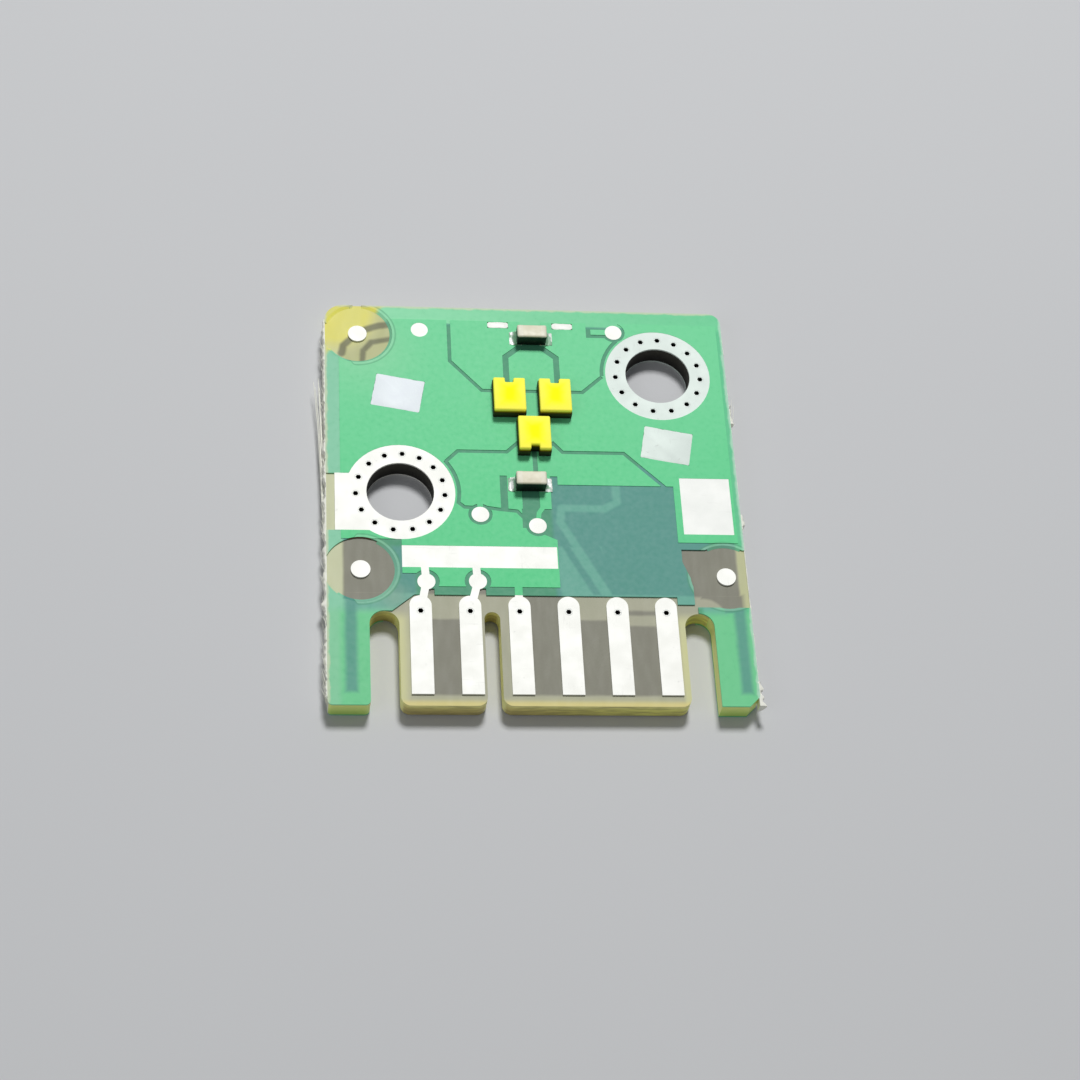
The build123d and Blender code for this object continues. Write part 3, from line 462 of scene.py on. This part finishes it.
def make_phosphor():
    """The yellow converter layer: deepest in the middle, paler towards its rim, and painted shade makes it
    dark down its sides.
    """
    graph = Graph("led_phosphor")
    cloud = graph.noise(0.5, 3.0)
    rim = None
    for number in (1, 2, 3):
        low, high = box_mm(f"led_{number}_phosphor")
        shape = graph.rectangle(low.x, high.x, low.y, high.y)
        rim = shape if rim is None else graph.least(rim, shape)
    near = graph.ramp(graph.plus(rim, graph.times(cloud, 0.35)), -0.6, 0.18)
    base = graph.mix(near, colour(255, 255, 0), colour(255, 248, 90))
    top = box_mm("led_1_phosphor")[1].z
    side = graph.ramp(graph.z, top - 0.06, top - 0.26)
    base = graph.mix(side, base, colour(120, 108, 4))
    # Painted glow: the converter also gives back blue light as yellow, and an emission makes it a little
    # brighter than its surface
    graph.put(graph.shader.inputs["Emission Color"], base)
    graph.bump(graph.noise(0.06, 3.0), 0.008, 0.5)
    return graph.finish(base, 0.6, Specular_IOR_Level=0.08, Emission_Strength=0.2)


def make_led_ceramic():
    graph = Graph("led_ceramic_body")
    low, high = box_mm("led_1_body")
    cloud = graph.noise(0.3, 3.0)
    # Painted shade: the body is coloured very dark olive, darkest at its foot, for the shade on its sides
    base = graph.mix(graph.ramp(graph.z, low.z, high.z), colour(26, 26, 14), colour(70, 64, 12))
    base = graph.mix(graph.times(cloud, 0.4), base, colour(52, 50, 28))
    graph.bump(graph.noise(0.08, 3.0), 0.01, 0.5)
    return graph.finish(base, 0.55, Specular_IOR_Level=0.3)


def make_capacitor(name, top_light, top_shade):
    graph = Graph(name)
    top = box_mm("capacitor_1_end_caps")[1].z
    cloud = graph.noise(0.4, 3.0)
    face = graph.mix(cloud, top_light, top_shade)
    # Below the top the sides are painted near black as painted shade, with light specks that are painted
    # reflections
    specks = graph.ramp(graph.noise(0.12, 2.0, shift=8.0), 0.6, 0.72)
    sides = graph.mix(graph.times(specks, 0.5), colour(14, 13, 10), colour(96, 92, 78))
    base = graph.mix(graph.ramp(graph.z, top - 0.035, top - 0.11), face, sides)
    graph.bump(graph.noise(0.1, 3.0), 0.012, 0.5)
    return graph.finish(base, graph.ramp(cloud, 0.2, 0.8, 0.38, 0.5), Specular_IOR_Level=0.4)


def make_fibre():
    graph = Graph("torn_glass_fibre")
    strands = graph.noise(0.1, 3.0, stretch=(1, 0.3, 1))
    base = graph.mix(strands, colour(255, 255, 248), colour(236, 236, 216))
    graph.bump(strands, 0.02, 0.6)
    return graph.finish(base, 0.6, Specular_IOR_Level=0.4)


LAMINATE = make_laminate()
TOP_MASK = make_mask()
UNDER_MASK = make_mask(underside=True)
# The tins' near-white base colours are partly the tin's own pale tone and partly a painted reflection of the
# key light, which comes in near the mirror angle
TIN = make_tin("tinned_copper", colour(255, 255, 249), colour(253, 253, 244), shine=0.6, rough=0.47)
DULL_TIN = make_tin("dull_tinned_copper", colour(255, 255, 250), colour(249, 252, 246), 0.7, 0.16, 0.38)
GREY_TIN = make_tin("greyish_tinned_copper", colour(238, 250, 242), colour(228, 239, 232), 0.66, 0.25, 0.25)
BLUE_TIN = make_tin("bluish_tinned_copper", colour(246, 255, 255), colour(243, 248, 255), 0.7, 0.12, 0.25)
SOLDER = make_solder()
COPPER = make_copper()
PHOSPHOR = make_phosphor()
LED_CERAMIC = make_led_ceramic()
CHIP_CERAMIC = make_capacitor("capacitor_ceramic_block", colour(238, 235, 208), colour(224, 216, 188))
CHIP_CAPS = make_capacitor("capacitor_end_plating", colour(242, 239, 216), colour(224, 219, 196))
FIBRE = make_fibre()
VIA_TIN = make_via_tin()

FINISHES = {
    "laminate": LAMINATE,
    "solder_mask": TOP_MASK,
    "copper": COPPER,
    "tin": TIN,
    "solder": SOLDER,
    "led_ceramic": LED_CERAMIC,
    "phosphor": PHOSPHOR,
    "capacitor_ceramic": CHIP_CERAMIC,
}
SPECIAL = {
    "under_mask": UNDER_MASK,
    "hole_1_land": GREY_TIN,
    "hole_2_land": TIN,
    "edge_pad": DULL_TIN,
    "slanted_pad_2": DULL_TIN,
    "slanted_pad_1": BLUE_TIN,
}


def dress(name, material):
    """Gives a CAD node's object a material in every slot it has."""
    piece = frame["nodes"][name]
    if not piece.material_slots:
        piece.data.materials.append(material)
    for place in piece.material_slots:
        place.material = material


# ---------------------------------------------------------------- piece makers
def add_piece(name, mesh_builder, material, replaces=()):
    """Makes a mesh piece from millimetre geometry, and rides it on the board."""
    mesh_builder.normal_update()
    bmesh.ops.recalc_face_normals(mesh_builder, faces=mesh_builder.faces)
    bmesh.ops.scale(mesh_builder, vec=(MM, MM, MM), verts=mesh_builder.verts)
    mesh = bpy.data.meshes.new(name)
    mesh_builder.to_mesh(mesh)
    mesh_builder.free()
    piece = bpy.data.objects.new(name, mesh)
    bpy.context.scene.collection.objects.link(piece)
    mesh.materials.append(material)
    mesh.shade_smooth()
    mesh.set_sharp_from_angle(angle=radians(40))
    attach(piece, "root")
    if replaces:
        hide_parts(*replaces)
    return piece


def add_prism(builder, outline, bottom, top, bevel, segments=3, uprights=True):
    """An upright block on an outline, with rounded upper edges, and upright ones too unless told not to."""
    base = [builder.verts.new((x, y, bottom)) for x, y in outline]
    face = builder.faces.new(base)
    grown = bmesh.ops.extrude_face_region(builder, geom=[face])["geom"]
    raised = [v for v in grown if isinstance(v, bmesh.types.BMVert)]
    bmesh.ops.translate(builder, vec=(0, 0, top - bottom), verts=raised)
    block = set(base) | set(raised)
    rims = set(raised)
    edges = []
    for edge in builder.edges:
        first, second = edge.verts
        in_rim = (first in rims) + (second in rims)
        if first in block and second in block and (in_rim == 2 or in_rim == 1 and uprights):
            edges.append(edge)
    bmesh.ops.bevel(builder, geom=edges, offset=bevel, segments=segments, profile=0.5, affect="EDGES")


def rectangle_points(x1, x2, y1, y2):
    return [(x1, y1), (x2, y1), (x2, y2), (x1, y2)]


def notched_points(low, high, facing, width, depth):
    """A rectangle with a notch in the middle of its upper side, or of its lower side when facing is -1."""
    mid = (low.x + high.x) / 2
    near, far = (low.y, high.y) if facing > 0 else (high.y, low.y)
    step = -depth * facing
    left, right = mid - width / 2, mid + width / 2
    points = [(low.x, near), (high.x, near), (high.x, far), (right, far), (right, far + step),
              (left, far + step), (left, far), (low.x, far)]
    return points if facing > 0 else points[::-1]


def add_tube(builder, points, radii, sides=5):
    """A thin round strand through points, with a radius at each."""
    rings = []
    for index, (point, radius) in enumerate(zip(points, radii)):
        ahead = points[min(index + 1, len(points) - 1)] - points[max(index - 1, 0)]
        across = ahead.orthogonal().normalized()
        other = ahead.cross(across).normalized()
        ring = []
        for k in range(sides):
            turn = 2 * pi * k / sides
            ring.append(builder.verts.new(point + (across * cos(turn) + other * sin(turn)) * radius))
        rings.append(ring)
    for first, second in zip(rings, rings[1:]):
        for k in range(sides):
            builder.faces.new((first[k], first[(k + 1) % sides], second[(k + 1) % sides], second[k]))
    builder.faces.new(rings[0][::-1])
    builder.faces.new(rings[-1])


def turned_profile(builder, centre, profile, turn):
    """A profile of (radius, height) points, stood up at one angle round a centre."""
    ahead_x, ahead_y = cos(turn), sin(turn)
    return [builder.verts.new((centre[0] + r * ahead_x, centre[1] + r * ahead_y, z)) for r, z in profile]


def join_profiles(builder, first, second):
    """The faces between two profiles with as many points, each closed on itself."""
    count = len(first)
    for j in range(count):
        k = (j + 1) % count
        builder.faces.new((first[j], second[j], second[k], first[k]))


def add_lathe(builder, centre, profile, sides):
    """A ring of revolution from a closed profile of (radius, height) points."""
    rings = [turned_profile(builder, centre, profile, 2 * pi * k / sides) for k in range(sides)]
    for k in range(sides):
        join_profiles(builder, rings[k], rings[(k + 1) % sides])


# ---------------------------------------------------------------- carried-over CAD nodes
for part in frame["record"]["subparts"]:
    dress(part["node"], SPECIAL.get(part["node"]) or FINISHES[part["material_slot"]])

# ---------------------------------------------------------------- light sources
LED_NOTCH = (0.46, 0.28)
LED_EDGE, CONVERTER_EDGE = 0.04, 0.085
for number, facing in ((1, 1), (2, 1), (3, -1)):
    node = f"led_{number}_body"
    low, high = box_mm(node)
    builder = bmesh.new()
    add_prism(builder, notched_points(low, high, facing, *LED_NOTCH), low.z, high.z, LED_EDGE)
    add_piece(f"led_{number}_submount", builder, LED_CERAMIC, [node])
    node = f"led_{number}_phosphor"
    low, high = box_mm(node)
    builder = bmesh.new()
    outline = notched_points(low, high, facing, *LED_NOTCH)
    add_prism(builder, outline, low.z, high.z, CONVERTER_EDGE, segments=4)
    add_piece(f"led_{number}_converter", builder, PHOSPHOR, [node])

# ---------------------------------------------------------------- chip capacitors and their solder
PAD_EDGE = 0.012


def add_fillet(builder, wall_x, reach, y1, y2, foot, climb, seed):
    """Solder that runs from an end wall down to its pad: concave, and uneven along the wall."""
    rows, columns = 8, 14
    upper = []
    lower = []
    for i in range(rows + 1):
        out = i / rows
        upper_row = []
        lower_row = []
        for j in range(columns + 1):
            across = j / columns
            edge = min(1.0, 5.0 * min(across, 1 - across))
            ripple = noise.noise(Vector((out * 2.0, across * 5.0, seed)))
            x = wall_x + reach * out * (0.86 + 0.14 * edge) * (1.0 + 0.12 * ripple)
            y = y1 + (y2 - y1) * across
            rise = climb * (1 - out) ** 2.4 * (0.45 + 0.55 * edge) * (1.0 + 0.4 * ripple)
            upper_row.append(builder.verts.new((x, y, foot + 0.012 + rise)))
            lower_row.append(builder.verts.new((x, y, foot - 0.01)))
        upper.append(upper_row)
        lower.append(lower_row)
    for i in range(rows):
        for j in range(columns):
            builder.faces.new((upper[i][j], upper[i + 1][j], upper[i + 1][j + 1], upper[i][j + 1]))
            builder.faces.new((lower[i][j], lower[i][j + 1], lower[i + 1][j + 1], lower[i + 1][j]))
        for j in (0, columns):
            builder.faces.new((upper[i][j], upper[i + 1][j], lower[i + 1][j], lower[i][j]))
    for i in (0, rows):
        for j in range(columns):
            builder.faces.new((upper[i][j], upper[i][j + 1], lower[i][j + 1], lower[i][j]))


def add_slice(builder, low, high, bevel, x1, x2):
    """The part of a rounded block between two upright cuts."""
    block = bmesh.new()
    add_prism(block, rectangle_points(low.x, high.x, low.y, high.y), low.z, high.z, bevel, segments=4)
    for cut_x, side in ((x1, -1), (x2, 1)):
        if low.x < cut_x < high.x:
            whole = block.verts[:] + block.edges[:] + block.faces[:]
            place, facing = (cut_x, 0, 0), (side, 0, 0)
            cut = bmesh.ops.bisect_plane(
                block, geom=whole, plane_co=place, plane_no=facing, clear_outer=True)
            rim = [edge for edge in cut["geom_cut"] if isinstance(edge, bmesh.types.BMEdge)]
            bmesh.ops.holes_fill(block, edges=rim)
    mesh = bpy.data.meshes.new("slice")
    block.to_mesh(mesh)
    block.free()
    builder.from_mesh(mesh)
    bpy.data.meshes.remove(mesh)


CAP_SPAN = 0.32
CAP_OVERLAP = 0.02
CAP_EDGE = 0.1
CERAMIC_INSET = Vector((0.006, 0.006, 0.006))
for number in (1, 2):
    chip = f"capacitor_{number}"
    low, high = box_mm(f"{chip}_end_caps")
    left_cut, right_cut = low.x + CAP_SPAN, high.x - CAP_SPAN
    core_low, core_high = low + CERAMIC_INSET, high - CERAMIC_INSET
    builder = bmesh.new()
    add_slice(builder, core_low, core_high, CAP_EDGE, left_cut - CAP_OVERLAP, right_cut + CAP_OVERLAP)
    add_piece(f"{chip}_block", builder, CHIP_CERAMIC, [f"{chip}_ceramic"])
    builder = bmesh.new()
    add_slice(builder, low, high, CAP_EDGE, low.x - 1, left_cut)
    add_slice(builder, low, high, CAP_EDGE, right_cut, high.x + 1)
    add_piece(f"{chip}_plated_ends", builder, CHIP_CAPS, [f"{chip}_end_caps"])
    pad_low, pad_high = box_mm(f"{chip}_solder")
    seat = low.z
    builder = bmesh.new()
    for wall_x, pad_x, side, share, climb in (
        (low.x, pad_low.x, -1, 0.8, 0.34), (high.x, pad_high.x, 1, 0.6, 0.26),
    ):
        inner_x = wall_x - side * CAP_SPAN
        x1, x2 = min(pad_x, inner_x), max(pad_x, inner_x)
        pad = rectangle_points(x1, x2, pad_low.y, pad_high.y)
        add_prism(builder, pad, pad_low.z, seat, PAD_EDGE, segments=2)
        reach = (pad_x - wall_x) * share
        y1, y2, seed = low.y - 0.02, high.y + 0.02, number * 7.3 + side
        add_fillet(builder, wall_x - side * 0.03, reach, y1, y2, seat, climb, seed)
    add_piece(f"{chip}_joints", builder, SOLDER, [f"{chip}_solder"])

# ---------------------------------------------------------------- round mouths on the vias
VIA_PROFILE = [
    (0.128, PAD_TOP - 0.9), (0.13, PAD_TOP - 0.05), (0.166, PAD_TOP - 0.01), (0.18, PAD_TOP + 0.006),
    (0.194, PAD_TOP + 0.006), (0.21, PAD_TOP - 0.004), (0.21, PAD_TOP - 0.02), (0.145, PAD_TOP - 0.9),
]
VIA_SIDES = 20
VIA_COUNT = 15
VIA_RING_RADIUS = 2.31


def ring_vias(centre):
    """The places of the vias round a hole, which drift a little from even spacing."""
    places = []
    for k in range(VIA_COUNT):
        turn = k * 360 / VIA_COUNT
        angle = radians(89.3 - turn + 3.6 * sin(radians(turn - 54)))
        places.append((centre.x + VIA_RING_RADIUS * cos(angle), centre.y + VIA_RING_RADIUS * sin(angle)))
    return places


VIA_GROUPS = {
    "hole_1_via_mouths": ring_vias(HOLE_1),
    "hole_2_via_mouths": ring_vias(HOLE_2),
    "finger_via_mouths": [(finger_x, SLOT_TOP) for finger_x in FINGERS],
}
for name, places in VIA_GROUPS.items():
    builder = bmesh.new()
    for place in places:
        add_lathe(builder, place, VIA_PROFILE, VIA_SIDES)
    add_piece(name, builder, VIA_TIN)

# ---------------------------------------------------------------- pads put on by hand, with ragged edges
random.seed(7)


def ragged_outline(centre, width, height, angle, seed, tab, corner=0.07):
    """A rectangle's outline with small dents and bumps, rounded corners and a tab on its upper side."""
    steps = 22
    half_x, half_y = width / 2 - corner, height / 2 - corner
    corners = [(half_x, half_y, 0), (-half_x, half_y, 90), (-half_x, -half_y, 180), (half_x, -half_y, 270)]
    points = []
    for index, (x, y, start) in enumerate(corners):
        for k in range(4):
            turn = radians(start + 30 * k)
            points.append(Vector((x + corner * cos(turn), y + corner * sin(turn))))
        next_x, next_y, next_start = corners[(index + 1) % 4]
        turn = radians(next_start)
        first = points[-1].copy()
        last = Vector((next_x + corner * cos(turn), next_y + corner * sin(turn)))
        outward = Vector((cos(turn), sin(turn)))
        for k in range(1, steps):
            share = k / steps
            place = first.lerp(last, share)
            dent = 0.035 * noise.noise(Vector((place.x * 2.2, place.y * 2.2, seed)))
            dent += 0.014 * noise.noise(Vector((place.x * 8.0, place.y * 8.0, seed + 5)))
            if index == 0 and tab and 0.74 < share < 0.97:
                dent += tab
            points.append(place + outward * dent)
    lean = Matrix.Rotation(radians(angle), 2)
    return [tuple(lean @ point + centre) for point in points]


SLANTED_PAD = (2.6, 2.0)
SLANTED_PAD_TURN = -10.5
for number, seed, tab in ((1, 3.1, 0.09), (2, 8.4, 0.02)):
    node = f"slanted_pad_{number}"
    low, high = box_mm(node)
    centre = Vector(((low.x + high.x) / 2, (low.y + high.y) / 2))
    outline = ragged_outline(centre, *SLANTED_PAD, SLANTED_PAD_TURN, seed, tab)
    builder = bmesh.new()
    add_prism(builder, outline, low.z, PAD_TOP + 0.008, PAD_EDGE, segments=2, uprights=False)
    add_piece(f"{node}_tinned", builder, BLUE_TIN if number == 1 else GREY_TIN, [node])

# ---------------------------------------------------------------- sloped mask edges round the windows
BEVEL_TOP = BOARD_HIGH.z + 0.085


def add_arc_bevel(builder, centre, start, end, width):
    """A sloped rim along part of a window's edge, between two angles in degrees."""
    inner, foot = WINDOW_RADIUS - width, BOARD_HIGH.z - 0.01
    crest = (WINDOW_RADIUS + 0.004, BEVEL_TOP)
    profile = [(inner, foot), (inner, foot + 0.014), crest, (WINDOW_RADIUS + 0.02, foot)]
    steps = int((end - start) / 3)
    turns = [radians(start + (end - start) * k / steps) for k in range(steps + 1)]
    rings = [turned_profile(builder, centre, profile, turn) for turn in turns]
    for first, second in zip(rings, rings[1:]):
        join_profiles(builder, first, second)
    builder.faces.new(rings[0])
    builder.faces.new(rings[-1][::-1])


builder = bmesh.new()
for centre, start, end, width in (
    (FIDUCIALS[0], -146, 82, 0.14), (FIDUCIALS[0], 98, 158, 0.14), (FIDUCIALS[1], -130, 62, 0.14),
    (FIDUCIALS[2], 62, 118, 0.12),
):
    add_arc_bevel(builder, centre, start, end, width)
add_piece("window_rims", builder, TOP_MASK)

# ---------------------------------------------------------------- short bars, with ragged edges too
SHORT_BAR = (1.14, 0.38)
SHORT_BAR_INSET = 0.56
SHORT_BAR_CORNER = 0.15
low, high = box_mm("short_bars")
builder = bmesh.new()
for index, bar_x in enumerate((low.x + SHORT_BAR_INSET, high.x - SHORT_BAR_INSET)):
    centre = Vector((bar_x, (low.y + high.y) / 2))
    outline = ragged_outline(centre, *SHORT_BAR, 0.0, 4.2 + index, 0.0, SHORT_BAR_CORNER)
    add_prism(builder, outline, low.z, PAD_TOP + 0.01, PAD_EDGE, segments=2, uprights=False)
add_piece("short_bars_tinned", builder, TIN, ["short_bars"])

# ---------------------------------------------------------------- frayed glass fibre along the routed sides


def add_frayed_side(builder, edge_x, side, y1, y2, low_z, high_z, depth, seed):
    """A rough, scalloped skin along an upright side of the board, closed at both ends."""
    rows = int((y2 - y1) / 0.07)
    profile = [(0.0, 0.05), (0.4, 0.15), (0.8, 0.45), (1.0, 0.78), (0.92, 0.93), (0.55, 1.0), (0.0, 1.0)]
    rings = []
    for i in range(rows + 1):
        y = y1 + (y2 - y1) * i / rows
        swell = 0.5 + 0.7 * noise.noise(Vector((0.0, y * 1.3, seed)))
        scallop = abs(noise.noise(Vector((3.0, y * 2.6, seed))))
        ring = []
        for out, up in profile:
            rough = noise.noise(Vector((up * 3.0, y * 7.0, seed + 2)))
            reach = depth * out * max(0.12, swell + 0.9 * scallop + 0.5 * rough)
            z = low_z + (high_z - low_z) * up
            z += 0.03 * noise.noise(Vector((up, y * 4.0, seed + 9))) * (out > 0)
            x = edge_x + side * reach - side * 0.02
            ring.append(builder.verts.new((x, y, min(z, MASK_TOP + 0.012))))
        rings.append(ring)
    for first, second in zip(rings, rings[1:]):
        for j in range(len(profile)):
            k = (j + 1) % len(profile)
            builder.faces.new((first[j], first[k], second[k], second[j]))
    builder.faces.new(rings[0])
    builder.faces.new(rings[-1][::-1])


def add_strand(builder, points, thickness, steps=14):
    """A fibre that bends smoothly through a few points and thins towards its tip."""
    smooth = []
    count = len(points) - 1
    for i in range(steps * count + 1):
        t = i / steps
        k = min(int(t), count - 1)
        share = t - k
        p0, p1, p2, p3 = points[max(k - 1, 0)], points[k], points[k + 1], points[min(k + 2, count)]
        smooth.append(0.5 * (2 * p1 + (p2 - p0) * share + (2 * p0 - 5 * p1 + 4 * p2 - p3) * share ** 2
                             + (3 * p1 - p0 - 3 * p2 + p3) * share ** 3))
    radii = [thickness * (1.0 - 0.6 * i / (len(smooth) - 1)) for i in range(len(smooth))]
    add_tube(builder, smooth, radii)


def add_fuzz(builder, edge_x, side, y1, y2, count, reach):
    """Short fibres that lie along a side and stand a little off it."""
    for _ in range(count):
        y = random.uniform(y1, y2)
        length = random.uniform(0.25, 1.1)
        out = random.uniform(0.02, reach)
        z = random.uniform(0.3, LAMINATE_TOP + 0.05)
        start = Vector((edge_x + side * random.uniform(0.0, 0.05), y, z))
        middle = Vector((edge_x + side * out * 0.6, y + length * 0.5, z + random.uniform(-0.08, 0.08)))
        tip = Vector((edge_x + side * out, y + length, z + random.uniform(-0.15, 0.15)))
        add_strand(builder, [start, middle, tip], random.uniform(0.008, 0.018), 4)


LEFT_X, RIGHT_X = BOARD_LOW.x, BOARD_HIGH.x
FRONT_Y, BACK_Y = BOARD_LOW.y, BOARD_HIGH.y
FRAY_LOW, FRAY_HIGH = 0.12, LAMINATE_TOP + 0.06
builder = bmesh.new()
add_frayed_side(builder, LEFT_X, -1, FRONT_Y + 0.45, BACK_Y - 0.95, FRAY_LOW, FRAY_HIGH, 0.19, 1.7)
add_fuzz(builder, LEFT_X, -1, FRONT_Y + 0.3, BACK_Y - 2.0, 190, 0.3)
add_piece("left_side_fraying", builder, FIBRE)

builder = bmesh.new()
add_frayed_side(builder, RIGHT_X, 1, FRONT_Y + 0.9, BACK_Y - 0.7, FRAY_LOW, FRAY_HIGH, 0.07, 5.2)
add_fuzz(builder, RIGHT_X, 1, FRONT_Y + 0.8, BACK_Y - 2.5, 60, 0.1)
add_frayed_side(builder, RIGHT_X, 1, 4.9, 6.1, 0.5, LAMINATE_TOP, 0.2, 3.3)
add_frayed_side(builder, RIGHT_X, 1, -1.9, -0.8, 0.4, LAMINATE_TOP + 0.05, 0.22, 6.1)
add_frayed_side(builder, RIGHT_X - 0.03, 1, -11.95, -10.6, 0.5, LAMINATE_TOP + 0.08, 0.26, 2.4)
add_piece("right_side_fraying", builder, FIBRE)

# Loose strands that stand off the left side
builder = bmesh.new()
for tip_x, tip_y, mid_x, foot_y, height in (
    (-11.38, 7.25, -11.16, -1.2, 0.62), (-11.30, 6.85, -11.12, 0.4, 0.74), (-11.14, 7.35, -11.06, 1.3, 0.82),
    (-11.09, 6.95, -11.0, 2.2, 0.55), (-11.24, 5.7, -11.08, -2.3, 0.50), (-11.1, 4.4, -11.02, -3.4, 0.70),
):
    foot = Vector((LEFT_X + 0.02, foot_y, height - 0.1))
    low_bend = Vector(((LEFT_X + mid_x) / 2 - 0.04, foot_y + (tip_y - foot_y) * 0.3, height))
    high_bend = Vector((mid_x, foot_y + (tip_y - foot_y) * 0.66, height + 0.05))
    tip = Vector((tip_x, tip_y, height + 0.12))
    add_strand(builder, [foot, low_bend, high_bend, tip], 0.04)
for base_y, lean in ((6.6, 0.26), (6.2, 0.34)):
    foot = Vector((RIGHT_X, base_y - 1.6, 0.7))
    bend = Vector((RIGHT_X + lean * 0.7, base_y - 0.8, 0.8))
    add_strand(builder, [foot, bend, Vector((RIGHT_X + lean, base_y, 0.9))], 0.016)
add_piece("loose_fibres", builder, FIBRE)

# ---------------------------------------------------------------- floor, light and camera
floor_graph = Graph("pale_floor")
floor_tone = floor_graph.mix(floor_graph.noise(60.0, 2.0), colour(206, 207, 209), colour(210, 211, 212))
FLOOR = floor_graph.finish(floor_tone, 0.6, Specular_IOR_Level=0.2)
bpy.ops.mesh.primitive_plane_add(size=3.0, location=(0, 0, 0))
floor = bpy.context.active_object
floor.name = "floor"
floor.data.materials.append(FLOOR)

scene = bpy.context.scene
scene.view_settings.view_transform = "Standard"
world = bpy.data.worlds.new("studio")
scene.world = world
world.use_nodes = True
background = world.node_tree.nodes["Background"]
background.inputs["Color"].default_value = (0.93, 0.96, 1.0, 1.0)
background.inputs["Strength"].default_value = 0.18


def add_softbox(name, place, size, power):
    """A square soft light that faces the middle of the board."""
    light = bpy.data.lights.new(name, "AREA")
    light.shape = "SQUARE"
    light.size = size
    light.energy = power
    lamp = bpy.data.objects.new(name, light)
    lamp.location = place
    lamp.rotation_euler = (-Vector(place)).to_track_quat("-Z", "Y").to_euler()
    scene.collection.objects.link(lamp)


add_softbox("key_softbox", (0.03, 0.20, 0.34), 0.09, 1.1)
add_softbox("fill_softbox", (-0.30, -0.20, 0.30), 0.25, 0.18)

CAMERA_PLACE = Vector((-15.41, -65.33, 107.90)) * MM
CAMERA_TARGET = Vector((0.147, -2.526, 1.2)) * MM
CAMERA_ROLL = 12.737
camera_data = bpy.data.cameras.new("camera")
camera_data.lens = 81.0
camera_data.sensor_width = 36.0
camera_data.clip_start = 0.002
camera_data.clip_end = 10.0
camera = bpy.data.objects.new("camera", camera_data)
facing = (CAMERA_TARGET - CAMERA_PLACE).to_track_quat("-Z", "Y").to_matrix().to_4x4()
roll = Matrix.Rotation(radians(CAMERA_ROLL), 4, "Z")
camera.matrix_world = Matrix.Translation(CAMERA_PLACE) @ facing @ roll
scene.collection.objects.link(camera)
scene.camera = camera
